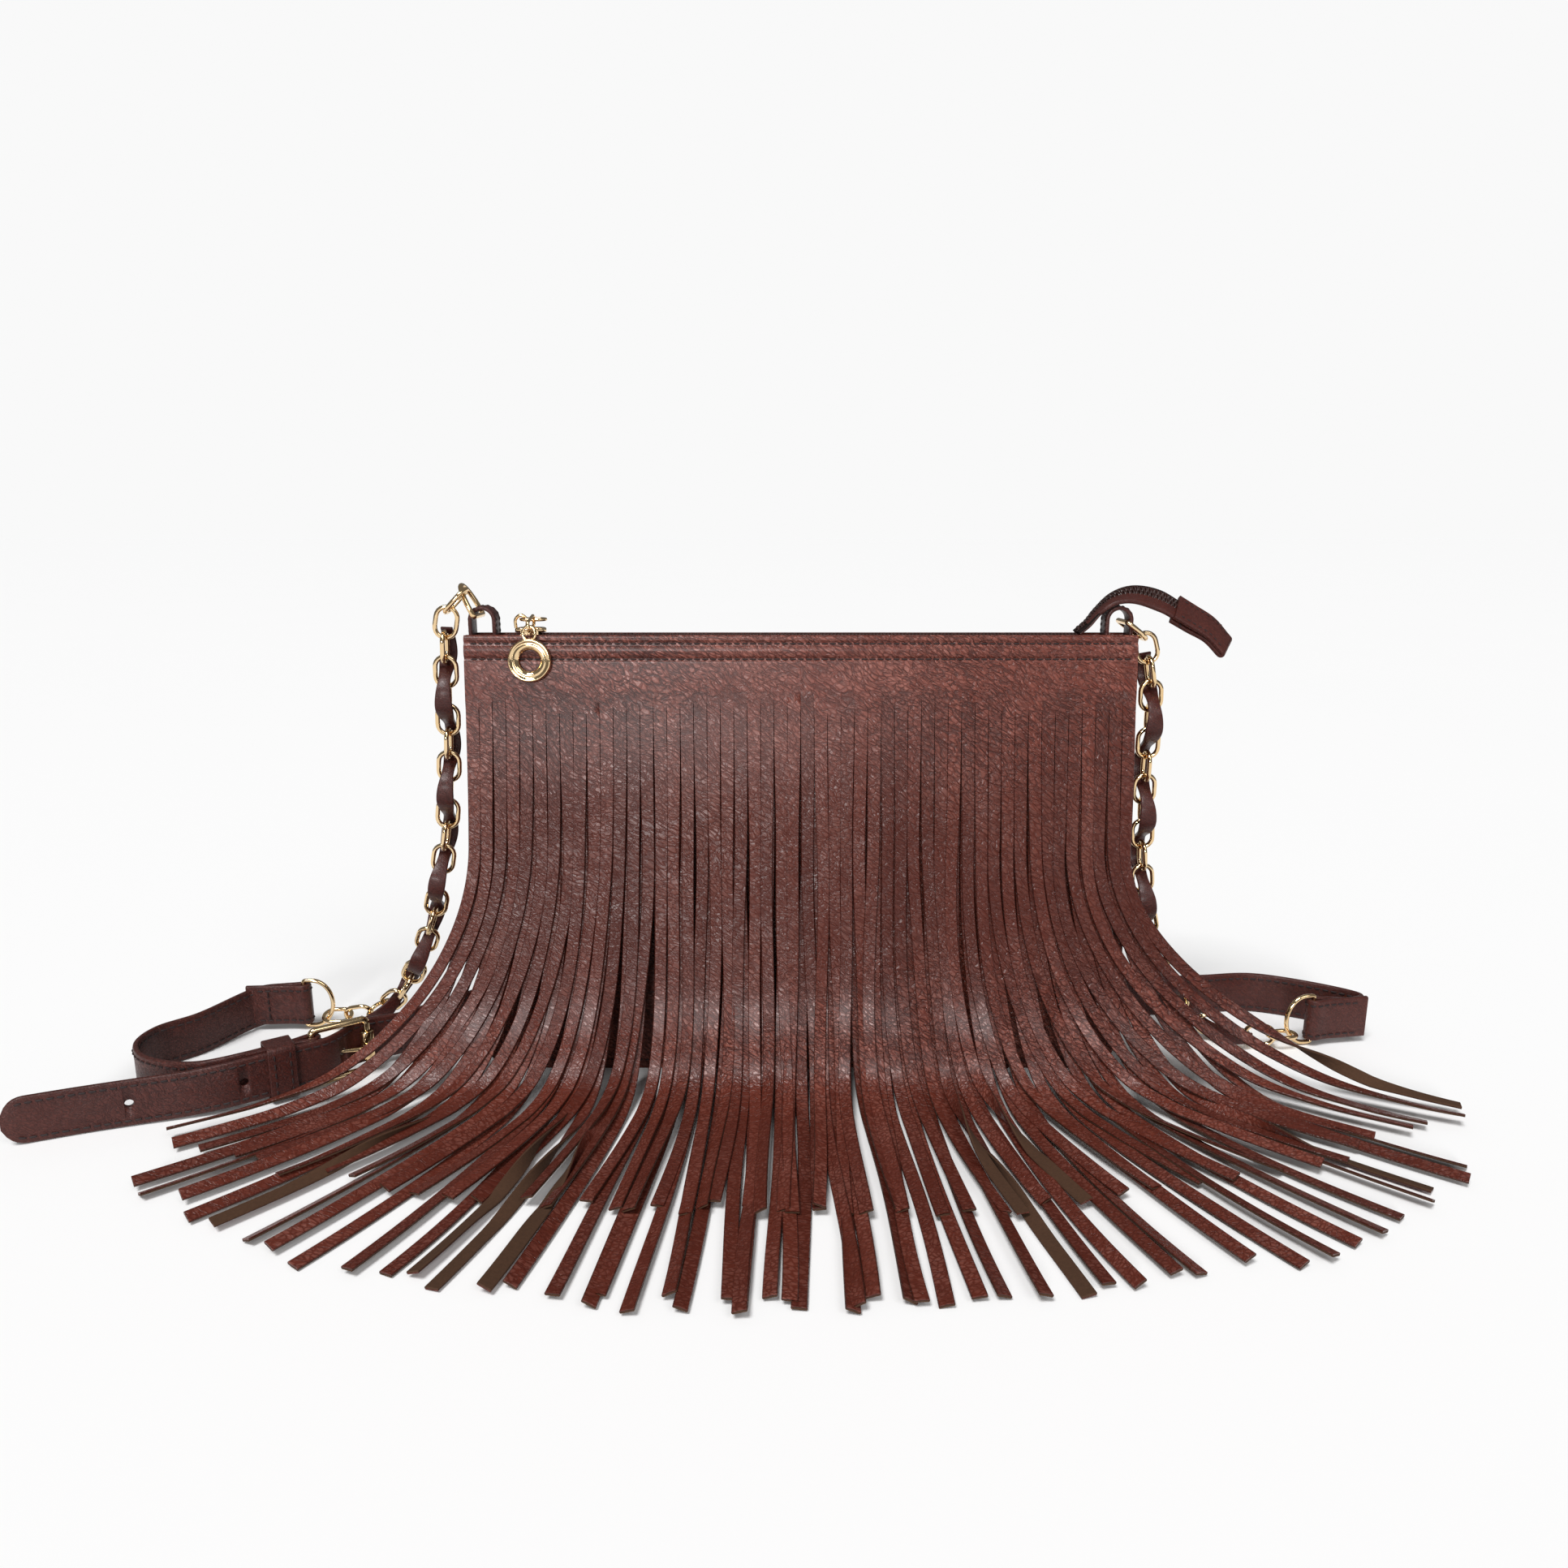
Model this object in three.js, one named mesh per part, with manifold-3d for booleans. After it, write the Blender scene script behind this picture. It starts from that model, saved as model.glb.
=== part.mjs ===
import * as THREE from 'three';
import { mergeVertices } from 'three/addons/utils/BufferGeometryUtils.js';
import Module from 'manifold-3d';

const wasm = await Module();
wasm.setup();

// Bag body, in millimetres, +Z up, front towards -Y, origin at the middle of the base
const bagWidth = 280;
const bagHeight = 190;
const baseHalfDepth = 18;
const topHalfDepth = 7;
const panelBulge = 3;
const panelThickness = 2;
const gussetThickness = 1.8;
const gussetDrop = 8;
const cornerRadius = 14;
const liningThickness = 0.8;
const liningDrop = 12;
const seatGap = 0.3;
const leftEnd = -bagWidth / 2;
const rightEnd = bagWidth / 2;

// Fringe: two sheets sewn to the top of the front panel and cut into strips
const sheetThickness = 1.2;
const stripPitch = 5.6;
const slitWidth = 0.4;
const slitStart = 33;
const upperLength = 242;
const lowerLength = 290;
const sideShortening = 40;
const lengthJitter = 5;
const fanStart = 0.23;
const evenSpread = 0.07;
const widestSkew = 1.9;
const fringeFoot = 68;

// Zip set into the top edges
const zipInset = 15;
const zipTailInset = 22;
const tapeThickness = 0.7;
const tapeDrop = 8;
const tapeLevel = 1.6;
const toothPitch = 10.8;
const toothHeight = 1.8;
const toothReach = 1.2;
const toothRoot = 2.6;

// Slider and ring puller
const sliderX = -114;
const sliderLength = 13;
const sliderWidth = 7.4;
const sliderHeight = 2;
const pullerWire = 1.4;
const pullerLinkLength = 11.7;
const pullerLinkWidth = 7;
const jumpLinkLength = 13.8;
const jumpLinkWidth = 5.6;
const discRadius = 9;
const discHole = 4.5;
const discDrop = 5;

// Leather ring tabs and the bag's two D-rings
const tabInset = 4.5;
const tabInnerRadius = 4.2;
const tabThickness = 1.6;
const tabRise = 6;
const ringWire = 2.2;
const bagRingHalfWidth = 7.6;
const leftRingReach = 14;
const rightRingReach = 12;

// Chain of oval wire links, with a leather lace woven through
const linkLength = 14.8;
const linkWidth = 10.8;
const linkWire = 2;
const jointOverlap = 0.3;
const chainNodes = 15;
const leftLinks = 22;
const rightLinks = 21;
const laceWidth = 5;
const laceThickness = 1.1;

// Strap ends, straps and buckle
const strapWidth = 19.5;
const strapThickness = 2.2;
const strapLift = 0.2;
const strapRingWire = 2;
const strapRingReach = 13;
const edgeRoom = 0.5;
const foldLength = 26;
const buckleLength = 23;
const buckleWire = 3;
const buckleCorner = 2.2;
const rollerRadius = 3;
const prongWire = 1.8;
const keeperWidth = 11;
const keeperThickness = 1.5;
const holeRadius = 1.5;
const holeSpacing = 40;

// Colours seen in the photograph
const leatherBrown = 0x5a2d26;
const zipBlack = 0x1d1413;
const liningBrown = 0x3a2a22;
const gold = 0xe2b461;

const part = new THREE.Group();
const UP = new THREE.Vector3(0, 0, 1);

function at(x, y, z) {
  return new THREE.Vector3(x, y, z);
}

function add(name, geometry, color, metal) {
  const material = new THREE.MeshStandardMaterial({
    color,
    roughness: metal ? 0.2 : 0.6,
    metalness: metal ? 1 : 0,
  });
  const mesh = new THREE.Mesh(geometry, material);
  mesh.name = name;
  part.add(mesh);
  return mesh;
}

// Solids and booleans
function toSolid(geometry) {
  const bare = geometry.clone();
  bare.deleteAttribute('normal');
  bare.deleteAttribute('uv');
  const merged = mergeVertices(bare, 1e-4);
  const mesh = new wasm.Mesh({
    numProp: 3,
    vertProperties: new Float32Array(merged.attributes.position.array),
    triVerts: new Uint32Array(merged.index.array),
  });
  return new wasm.Manifold(mesh);
}

function toGeometry(solid) {
  const mesh = solid.getMesh();
  const geometry = new THREE.BufferGeometry();
  geometry.setAttribute('position', new THREE.BufferAttribute(mesh.vertProperties, 3));
  geometry.setIndex(new THREE.BufferAttribute(mesh.triVerts, 1));
  return geometry;
}

function cut(geometry, ...tools) {
  let solid = toSolid(geometry);
  for (const tool of tools) {
    solid = solid.subtract(toSolid(tool));
  }
  return toGeometry(solid);
}

function join(first, ...others) {
  let solid = toSolid(first);
  for (const other of others) {
    solid = solid.add(toSolid(other));
  }
  return toGeometry(solid);
}

function common(first, second) {
  return toGeometry(toSolid(first).intersect(toSolid(second)));
}

// A closed mesh from triangle corners, turned so that its faces point out
function meshFrom(corners) {
  let volume = 0;
  for (let i = 0; i < corners.length; i += 3) {
    const cross = new THREE.Vector3().crossVectors(corners[i + 1], corners[i + 2]);
    volume += corners[i].dot(cross);
  }
  const ordered = volume < 0 ? corners.toReversed() : corners;
  const geometry = new THREE.BufferGeometry().setFromPoints(ordered);
  return mergeVertices(geometry, 1e-4);
}

// Skin over a row of sections with the same number of corners, closed to a ring or capped at both ends
function loft(sections, ring = false) {
  const corners = [];
  const count = sections[0].length;
  const spans = ring ? sections.length : sections.length - 1;
  for (let i = 0; i < spans; i += 1) {
    const a = sections[i];
    const b = sections[(i + 1) % sections.length];
    for (let k = 0; k < count; k += 1) {
      const next = (k + 1) % count;
      corners.push(a[k], a[next], b[k]);
      corners.push(a[next], b[next], b[k]);
    }
  }
  if (!ring) {
    const end = sections[sections.length - 1];
    for (let k = 1; k < count - 1; k += 1) {
      corners.push(sections[0][0], sections[0][k + 1], sections[0][k]);
      corners.push(end[0], end[k], end[k + 1]);
    }
  }
  return meshFrom(corners.map((corner) => corner.clone()));
}

// Round wire bent to a closed flat loop
function wireLoop(points, radius, normal, sides = 6) {
  const sections = points.map((point, i) => {
    const before = points[(i + points.length - 1) % points.length];
    const after = points[(i + 1) % points.length];
    const inward = point.clone().sub(before).normalize();
    const outward = after.clone().sub(point).normalize();
    const along = inward.clone().add(outward).normalize();
    const across = new THREE.Vector3().crossVectors(along, normal).normalize();
    const mitre = Math.min(1.5, 1 / along.dot(inward));
    return Array.from({ length: sides }, (_, k) => {
      const turn = (2 * Math.PI * k) / sides;
      const side = across.clone().multiplyScalar(radius * Math.cos(turn) * mitre);
      return point.clone().add(side).addScaledVector(normal, radius * Math.sin(turn));
    });
  });
  return loft(sections, true);
}

// Prisms: outline in YZ swept along X, outline in XZ swept along Y, outline in XY swept along Z
function outlineShape(points) {
  return new THREE.Shape(points.map(([u, v]) => new THREE.Vector2(u, v)));
}

function prismX(points, from, to) {
  const geometry = new THREE.ExtrudeGeometry(outlineShape(points), { depth: to - from, bevelEnabled: false });
  const basis = new THREE.Matrix4().makeBasis(at(0, 1, 0), at(0, 0, 1), at(1, 0, 0));
  return geometry.applyMatrix4(basis.setPosition(from, 0, 0));
}

function prismY(points, from, to) {
  const geometry = new THREE.ExtrudeGeometry(outlineShape(points), { depth: to - from, bevelEnabled: false });
  const basis = new THREE.Matrix4().makeBasis(at(1, 0, 0), at(0, 0, 1), at(0, -1, 0));
  return geometry.applyMatrix4(basis.setPosition(0, to, 0));
}

function prismZ(points, from, to) {
  const geometry = new THREE.ExtrudeGeometry(outlineShape(points), { depth: to - from, bevelEnabled: false });
  return geometry.translate(0, 0, from);
}

// Body: panels that taper from the base to the top with a slight bulge
function halfDepth(z) {
  const share = z / bagHeight;
  const straight = THREE.MathUtils.lerp(baseHalfDepth, topHalfDepth, share);
  return straight + panelBulge * Math.sin(Math.PI * share);
}

const bodyLevels = [0, 0.2, 0.4, 0.6, 0.8, 1].map((share) => share * bagHeight);

function panelProfile(side) {
  const outer = bodyLevels.map((z) => [side * halfDepth(z), z]);
  const inner = bodyLevels.map((z) => [side * (halfDepth(z) - panelThickness), z]);
  const loop = [...outer, ...inner.toReversed()];
  return side < 0 ? loop.toReversed() : loop;
}

function spaceProfile(inset) {
  const right = bodyLevels.map((z) => [halfDepth(z) - panelThickness - inset, z]);
  const left = bodyLevels.map((z) => [-(halfDepth(z) - panelThickness - inset), z]);
  return [...right, ...left.toReversed()];
}

function bodyOutline(inset, bottom, top) {
  const half = bagWidth / 2 - inset;
  const radius = cornerRadius - inset;
  const points = [[half, top], [-half, top]];
  for (let step = 0; step <= 2; step += 1) {
    const turn = Math.PI + (step * Math.PI) / 4;
    points.push([-half + radius + radius * Math.cos(turn), bottom + radius + radius * Math.sin(turn)]);
  }
  for (let step = 0; step <= 2; step += 1) {
    const turn = 1.5 * Math.PI + (step * Math.PI) / 4;
    points.push([half - radius + radius * Math.cos(turn), bottom + radius + radius * Math.sin(turn)]);
  }
  return points;
}

function addBody() {
  const deep = 2 * baseHalfDepth;
  const half = bagWidth / 2;
  const outside = prismY(bodyOutline(0, 0, bagHeight), -deep, deep);
  add('front_panel', common(prismX(panelProfile(-1), -half, half), outside), leatherBrown, false);
  add('back_panel', common(prismX(panelProfile(1), -half, half), outside), leatherBrown, false);

  const gussetTop = bagHeight - gussetDrop;
  const frame = cut(
    prismY(bodyOutline(0, 0, gussetTop), -deep, deep),
    prismY(bodyOutline(gussetThickness, gussetThickness, bagHeight), -deep - 1, deep + 1),
  );
  const gusset = common(frame, prismX(spaceProfile(seatGap), -half, half));
  add('gusset_and_base', gusset, leatherBrown, false);

  const skin = gussetThickness + seatGap;
  const inner = skin + liningThickness;
  const bagShape = common(
    prismY(bodyOutline(skin, skin, bagHeight - liningDrop), -deep, deep),
    prismX(spaceProfile(seatGap), -half, half),
  );
  const hollow = common(
    prismY(bodyOutline(inner, inner, bagHeight + 1), -deep, deep),
    prismX(spaceProfile(seatGap + liningThickness), -half, half),
  );
  add('lining', cut(bagShape, hollow), liningBrown, false);
}

// Fringe: sheets hang on the panel, sweep forward and lie on the floor, all on one facetted surface
const frontGap = seatGap + 0.1;
const surfaceKnots = [
  [-topHalfDepth - frontGap, bagHeight],
  [-halfDepth(bagHeight - slitStart) - frontGap, bagHeight - slitStart],
  [-baseHalfDepth - 13, 0.17 * bagHeight],
  [-baseHalfDepth - 31, 0.03 * bagHeight],
  [-fringeFoot - 2, 0],
  [-fringeFoot - 300, 0],
];

const knotRuns = surfaceKnots.map((_, i) => {
  let run = 0;
  for (let k = 1; k <= i; k += 1) {
    const [ay, az] = surfaceKnots[k - 1];
    const [by, bz] = surfaceKnots[k];
    run += Math.hypot(by - ay, bz - az);
  }
  return run;
});

// Offset of the facetted surface: each knot moves along the mitre of its two facets
function knotPoint(i, offset) {
  const facetNormal = (k) => {
    const [ay, az] = surfaceKnots[k];
    const [by, bz] = surfaceKnots[k + 1];
    const length = Math.hypot(by - ay, bz - az);
    return new THREE.Vector2((bz - az) / length, -(by - ay) / length);
  };
  const first = facetNormal(Math.max(0, i - 1));
  const second = facetNormal(Math.min(surfaceKnots.length - 2, i));
  const middle = first.clone().add(second).normalize();
  const reach = offset / middle.dot(first);
  return [surfaceKnots[i][0] + middle.x * reach, surfaceKnots[i][1] + middle.y * reach];
}

function onSurface(x, run, offset) {
  let i = 0;
  while (i < knotRuns.length - 2 && run > knotRuns[i + 1]) {
    i += 1;
  }
  const share = (run - knotRuns[i]) / (knotRuns[i + 1] - knotRuns[i]);
  const [ay, az] = knotPoint(i, offset);
  const [by, bz] = knotPoint(i + 1, offset);
  return at(x, THREE.MathUtils.lerp(ay, by, share), THREE.MathUtils.lerp(az, bz, share));
}

// A number from -1 to 1 that looks random but is the same in each run
function jitter(seed) {
  const wave = Math.sin(seed * 127.1 + 11.7) * 43758.5453;
  return 2 * (wave - Math.floor(wave)) - 1;
}

function fringeSheet(layer) {
  const inner = layer.offset;
  const outer = layer.offset + sheetThickness;
  const count = Math.floor(bagWidth / stripPitch);
  const pitch = bagWidth / count;
  const slit = knotRuns[1];
  const corners = [];
  const quad = (a, b, c, d) => corners.push(a, b, c, a, c, d);
  const row = [];
  for (let i = 0; i < count; i += 1) {
    const home = (i + 0.5) * pitch - bagWidth / 2;
    const share = (2 * home) / bagWidth;
    const spread = share < 0 ? layer.leftSpread : layer.rightSpread;
    const drift = evenSpread * home + spread * Math.sign(share) * Math.abs(share) ** 3;
    const centre = (run) => {
      const late = Math.max(0, run - slit - fanStart * upperLength) / ((1 - fanStart) * upperLength);
      return home + drift * late ** 2;
    };
    const side = Math.abs(share) ** 3;
    const target = layer.length - layer.shortening * side + lengthJitter * jitter(i + layer.seed);
    const stations = [[home, slit, 0]];
    let used = 0;
    for (let k = 2; k < knotRuns.length; k += 1) {
      const [x0, run0] = stations[stations.length - 1];
      const full = Math.hypot(centre(knotRuns[k]) - x0, knotRuns[k] - run0);
      const last = used + full >= target - stripPitch || k === knotRuns.length - 1;
      if (!last) {
        stations.push([centre(knotRuns[k]), knotRuns[k]]);
        used += full;
      } else {
        let run = run0;
        while (Math.hypot(centre(run) - x0, run - run0) < target - used) {
          run += 0.5;
        }
        stations.push([centre(run), run]);
        break;
      }
    }
    const width = pitch - slitWidth;
    const sections = stations.map(([x, run], k) => {
      const [px, prun] = stations[Math.max(0, k - 1)];
      const tip = k === stations.length - 1;
      const slope = k === 0 ? 0 : (x - px) / (run - prun);
      const lengthen = Math.hypot(1, slope);
      const half = tip ? width / 2 / lengthen : (width / 2) * Math.min(lengthen, widestSkew);
      const skew = tip ? (slope * width) / 2 / lengthen : 0;
      return {
        leftInner: onSurface(x - half, run + skew, inner),
        rightInner: onSurface(x + half, run - skew, inner),
        leftOuter: onSurface(x - half, run + skew, outer),
        rightOuter: onSurface(x + half, run - skew, outer),
      };
    });
    for (let k = 1; k < sections.length; k += 1) {
      const a = sections[k - 1];
      const b = sections[k];
      quad(a.leftOuter, b.leftOuter, b.rightOuter, a.rightOuter);
      quad(a.rightInner, b.rightInner, b.leftInner, a.leftInner);
      quad(a.rightOuter, b.rightOuter, b.rightInner, a.rightInner);
      quad(a.leftInner, b.leftInner, b.leftOuter, a.leftOuter);
    }
    const end = sections[sections.length - 1];
    quad(end.leftOuter, end.leftInner, end.rightInner, end.rightOuter);
    row.push(sections[0]);
  }

  // Uncut head of the sheet, with the foot between neighbouring strips
  const first = row[0];
  const last = row[row.length - 1];
  const top = {
    leftInner: onSurface(first.leftInner.x, 0, inner),
    leftOuter: onSurface(first.leftInner.x, 0, outer),
    rightInner: onSurface(last.rightInner.x, 0, inner),
    rightOuter: onSurface(last.rightInner.x, 0, outer),
  };
  const outerRow = row.flatMap((section) => [section.leftOuter, section.rightOuter]);
  const innerRow = row.flatMap((section) => [section.leftInner, section.rightInner]);
  const middle = Math.floor(outerRow.length / 2);
  for (let k = 0; k < outerRow.length - 1; k += 1) {
    const outerTop = k < middle ? top.leftOuter : top.rightOuter;
    const innerTop = k < middle ? top.leftInner : top.rightInner;
    corners.push(outerTop, outerRow[k], outerRow[k + 1]);
    corners.push(innerTop, innerRow[k + 1], innerRow[k]);
  }
  corners.push(top.leftOuter, outerRow[middle], top.rightOuter);
  corners.push(top.rightInner, innerRow[middle], top.leftInner);
  for (let i = 0; i < row.length - 1; i += 1) {
    const a = row[i];
    const b = row[i + 1];
    quad(a.rightOuter, a.rightInner, b.leftInner, b.leftOuter);
  }
  quad(top.rightOuter, top.rightInner, top.leftInner, top.leftOuter);
  quad(top.rightOuter, last.rightOuter, last.rightInner, top.rightInner);
  quad(top.leftInner, first.leftInner, first.leftOuter, top.leftOuter);
  return meshFrom(corners.map((corner) => corner.clone()));
}

function addFringe() {
  const lower = {
    offset: 0,
    length: lowerLength,
    shortening: sideShortening,
    leftSpread: 95,
    rightSpread: 120,
    seed: 7,
  };
  const upper = {
    offset: sheetThickness + seatGap,
    length: upperLength,
    shortening: 0,
    leftSpread: 185,
    rightSpread: 330,
    seed: 61,
  };
  add('fringe_lower', fringeSheet(lower), leatherBrown, false);
  add('fringe_upper', fringeSheet(upper), leatherBrown, false);
}

// Zip: two tapes hemmed down inside the panels, with teeth that interleave over the middle
const tapeTop = bagHeight - tapeLevel;
const teethBottom = tapeTop + seatGap;
const teethTop = teethBottom + toothHeight;
const openingHalf = topHalfDepth - panelThickness - seatGap;
const zipLeft = zipInset - bagWidth / 2;
const zipRight = bagWidth / 2 - zipTailInset;

function zipHalf(side) {
  const hem = openingHalf - tapeThickness;
  const profile = [
    [side * 0.5 * seatGap, tapeTop],
    [side * 0.5 * seatGap, tapeTop - tapeThickness],
    [side * hem, tapeTop - tapeThickness],
    [side * hem, tapeTop - tapeDrop],
    [side * openingHalf, tapeTop - tapeDrop],
    [side * openingHalf, tapeTop],
  ];
  const tape = prismX(profile, zipLeft, zipRight);
  const spineInner = toothReach + seatGap + 0.1;
  const spineProfile = [
    [side * spineInner, tapeTop - 0.2],
    [side * toothRoot, tapeTop - 0.2],
    [side * toothRoot, teethTop],
    [side * spineInner, teethTop],
  ];
  const spine = prismX(spineProfile, zipLeft, zipRight);
  const comb = [[zipLeft, side * toothRoot], [zipLeft, side * spineInner]];
  const shift = side < 0 ? 0 : toothPitch / 2;
  const toothLength = toothPitch / 2 - 2 * seatGap;
  for (let x = zipLeft + 1 + shift; x + toothLength < zipRight - 0.5; x += toothPitch) {
    comb.push([x, side * spineInner]);
    comb.push([x, -side * toothReach]);
    comb.push([x + toothLength, -side * toothReach]);
    comb.push([x + toothLength, side * spineInner]);
  }
  comb.push([zipRight, side * spineInner], [zipRight, side * toothRoot]);
  return join(tape, spine, prismZ(comb, teethBottom, teethTop));
}

// Slider saddle over the teeth, with a bail for the puller
const plateBottom = teethTop + seatGap;
const plateTop = plateBottom + sliderHeight;
const bailX = sliderX - 0.3 * sliderLength;
const pullerLevel = plateTop + 3.3;

function openTube(points, radius, sides, steps) {
  const circle = new THREE.Shape();
  for (let k = 0; k < sides; k += 1) {
    const turn = (2 * Math.PI * k) / sides;
    const corner = new THREE.Vector2(radius * Math.cos(turn), radius * Math.sin(turn));
    if (k === 0) {
      circle.moveTo(corner.x, corner.y);
    } else {
      circle.lineTo(corner.x, corner.y);
    }
  }
  const extrudePath = new THREE.CatmullRomCurve3(points);
  return new THREE.ExtrudeGeometry(circle, { steps, extrudePath, bevelEnabled: false });
}

function addSlider() {
  const front = sliderX + sliderLength / 2;
  const back = sliderX - sliderLength / 2;
  const wide = sliderWidth / 2;
  const narrow = 0.85 * wide;
  const plate = prismZ([
    [back, -narrow],
    [back + 3, -wide],
    [front - 2, -wide],
    [front, -narrow],
    [front, narrow],
    [front - 2, wide],
    [back + 3, wide],
    [back, narrow],
  ], plateBottom, plateTop);
  const flangeInner = toothRoot + seatGap;
  const flanges = [-1, 1].map((side) => prismZ([
    [back + 3, side * flangeInner],
    [front - 2, side * flangeInner],
    [front - 2, side * wide],
    [back + 3, side * wide],
  ], tapeTop + seatGap, plateBottom + 0.5));
  const arch = pullerWire + seatGap + 0.6;
  const crown = pullerLevel + pullerWire + seatGap;
  const bail = openTube([
    at(bailX - arch, 0, plateTop - 0.4),
    at(bailX - arch, 0, pullerLevel),
    at(bailX, 0, crown + 0.1),
    at(bailX + arch, 0, pullerLevel),
    at(bailX + arch, 0, plateTop - 0.4),
  ], pullerWire / 2, 6, 8);
  add('zip_slider', join(plate, ...flanges, bail), gold, true);
}

// Oval wire link in the plane of along and across, centred on a point
function ovalLink(centre, along, across, length, width, wire, sides) {
  const radius = (width - wire) / 2;
  const straight = (length - wire) / 2 - radius;
  const points = [];
  const endRadius = radius / Math.cos(Math.PI / 6);
  for (let k = 0; k < 8; k += 1) {
    const end = k < 4 ? 1 : -1;
    const turn = (Math.PI * (k % 4)) / 3 - Math.PI / 2 + (k < 4 ? 0 : Math.PI);
    const reach = end * straight + endRadius * Math.cos(turn);
    points.push(centre.clone().addScaledVector(along, reach).addScaledVector(across, radius * Math.sin(turn)));
  }
  const normal = new THREE.Vector3().crossVectors(along, across).normalize();
  return wireLoop(points, wire / 2, normal, sides);
}

// Puller: oval link on the bail, a jump link over the front edge, and a dished disc ring
function addPuller() {
  const linkReach = (pullerLinkLength - pullerWire) / 2;
  const linkCentre = at(bailX + linkReach, 0, pullerLevel);
  const link = ovalLink(linkCentre, at(1, 0, 0), at(0, 1, 0), pullerLinkLength, pullerLinkWidth, pullerWire, 6);
  add('puller_link', link, gold, true);

  const discX = linkCentre.x + 0.5;
  const backY = -(pullerLinkWidth - pullerWire) / 2 + pullerWire + seatGap;
  const dip = THREE.MathUtils.degToRad(11);
  const forward = at(0, -Math.cos(dip), -Math.sin(dip));
  const jumpReach = (jumpLinkLength - pullerWire) / 2;
  const jumpStart = at(discX, backY, pullerLevel);
  const jumpCentre = jumpStart.clone().addScaledVector(forward, jumpReach);
  const jumpAcross = new THREE.Vector3().crossVectors(forward, at(1, 0, 0));
  const jump = ovalLink(jumpCentre, forward, jumpAcross, jumpLinkLength, jumpLinkWidth, pullerWire, 6);
  add('puller_jump_link', jump, gold, true);

  const eyeReach = 2 * jumpReach - pullerWire - seatGap;
  const eye = jumpStart.clone().addScaledVector(forward, eyeReach);
  const lean = Math.atan2(halfDepth(bagHeight - slitStart) - topHalfDepth, slitStart);
  const profile = [
    [discHole, -0.9],
    [discHole, 0.1],
    [0.68 * discRadius, 1.1],
    [0.74 * discRadius, 0.8],
    [0.82 * discRadius, 0.8],
    [0.88 * discRadius, 1.5],
    [0.97 * discRadius, 1.1],
    [discRadius, 0],
    [0.95 * discRadius, -0.9],
    [discHole, -0.9],
  ].map(([r, h]) => new THREE.Vector2(r, h)).toReversed();
  const disc = new THREE.LatheGeometry(profile, 16);
  disc.rotateX(Math.PI);
  const eyeTop = discRadius + discDrop;
  const eyeLoop = ovalLink(
    at(0, 0, discRadius + discDrop / 2 - 0.4),
    at(0, 0, 1),
    at(1, 0, 0),
    discDrop + pullerWire + 0.8,
    pullerLinkWidth - 0.6,
    pullerWire,
    6,
  );
  const ring = join(disc, eyeLoop);
  ring.rotateX(-lean);
  const drop = at(0, -Math.sin(lean), -Math.cos(lean)).multiplyScalar(eyeTop);
  ring.translate(eye.x + drop.x, eye.y + drop.y, eye.z + drop.z);
  add('puller_ring', ring, gold, true);
}

// Zip tail: the closed end of the zip arches over the right end into a folded leather tab
function bandSections(path, widthVector, width, thickness) {
  return path.map((point, i) => {
    const before = path[Math.max(0, i - 1)];
    const after = path[Math.min(path.length - 1, i + 1)];
    const along = after.clone().sub(before).normalize();
    const wide = widthVector(i / (path.length - 1), along).normalize();
    const thick = new THREE.Vector3().crossVectors(along, wide).normalize();
    return [[-1, -1], [1, -1], [1, 1], [-1, 1]].map(([u, v]) => point.clone()
      .addScaledVector(wide, (u * width) / 2)
      .addScaledVector(thick, (v * thickness) / 2));
  });
}

function addZipTail() {
  const start = zipRight + seatGap;
  const curve = new THREE.CatmullRomCurve3([
    at(start, 0, bagHeight + 1.25),
    at(start + 5, 0, bagHeight + 8),
    at(start + 12, -0.5, bagHeight + 15),
    at(start + 21, -1, bagHeight + 16.5),
    at(start + 32, -1.5, bagHeight + 14),
    at(start + 42, -2, bagHeight + 8.5),
  ]);
  const path = curve.getSpacedPoints(10);
  const lean = (share) => at(0, 1, 0).applyAxisAngle(at(1, 0, 0), 0.7 * share);
  const width = (share, along) => {
    const wide = lean(share);
    return wide.addScaledVector(along, -wide.dot(along));
  };
  const tailWidth = 2 * openingHalf + 2;
  const tailThickness = 1.8;
  add('zip_tail', loft(bandSections(path, width, tailWidth, tailThickness)), zipBlack, false);

  const end = path[path.length - 1];
  const direction = end.clone().sub(path[path.length - 2]).normalize();
  const tabPath = [-4, 4, 13, 21].map((reach) => end.clone().addScaledVector(direction, reach));
  tabPath[3].z -= 3;
  const tab = loft(bandSections(tabPath, (share, along) => width(1, along), tailWidth + 3, tailThickness + 3));
  const clearPath = [-8, 0.5].map((reach) => end.clone().addScaledVector(direction, reach));
  const clearance = loft(bandSections(
    clearPath,
    (share, along) => width(1, along),
    tailWidth + 2 * seatGap + 0.6,
    tailThickness + 2 * seatGap + 0.6,
  ));
  add('zip_tail_tab', cut(tab, clearance), leatherBrown, false);
}

// Leather loops at the two top ends, and the D-rings that they hold
const tabX = bagWidth / 2 - tabInset - 2;
const tabZ = bagHeight + tabRise;
const tabWidth = 2 * openingHalf - 2 * seatGap;

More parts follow.
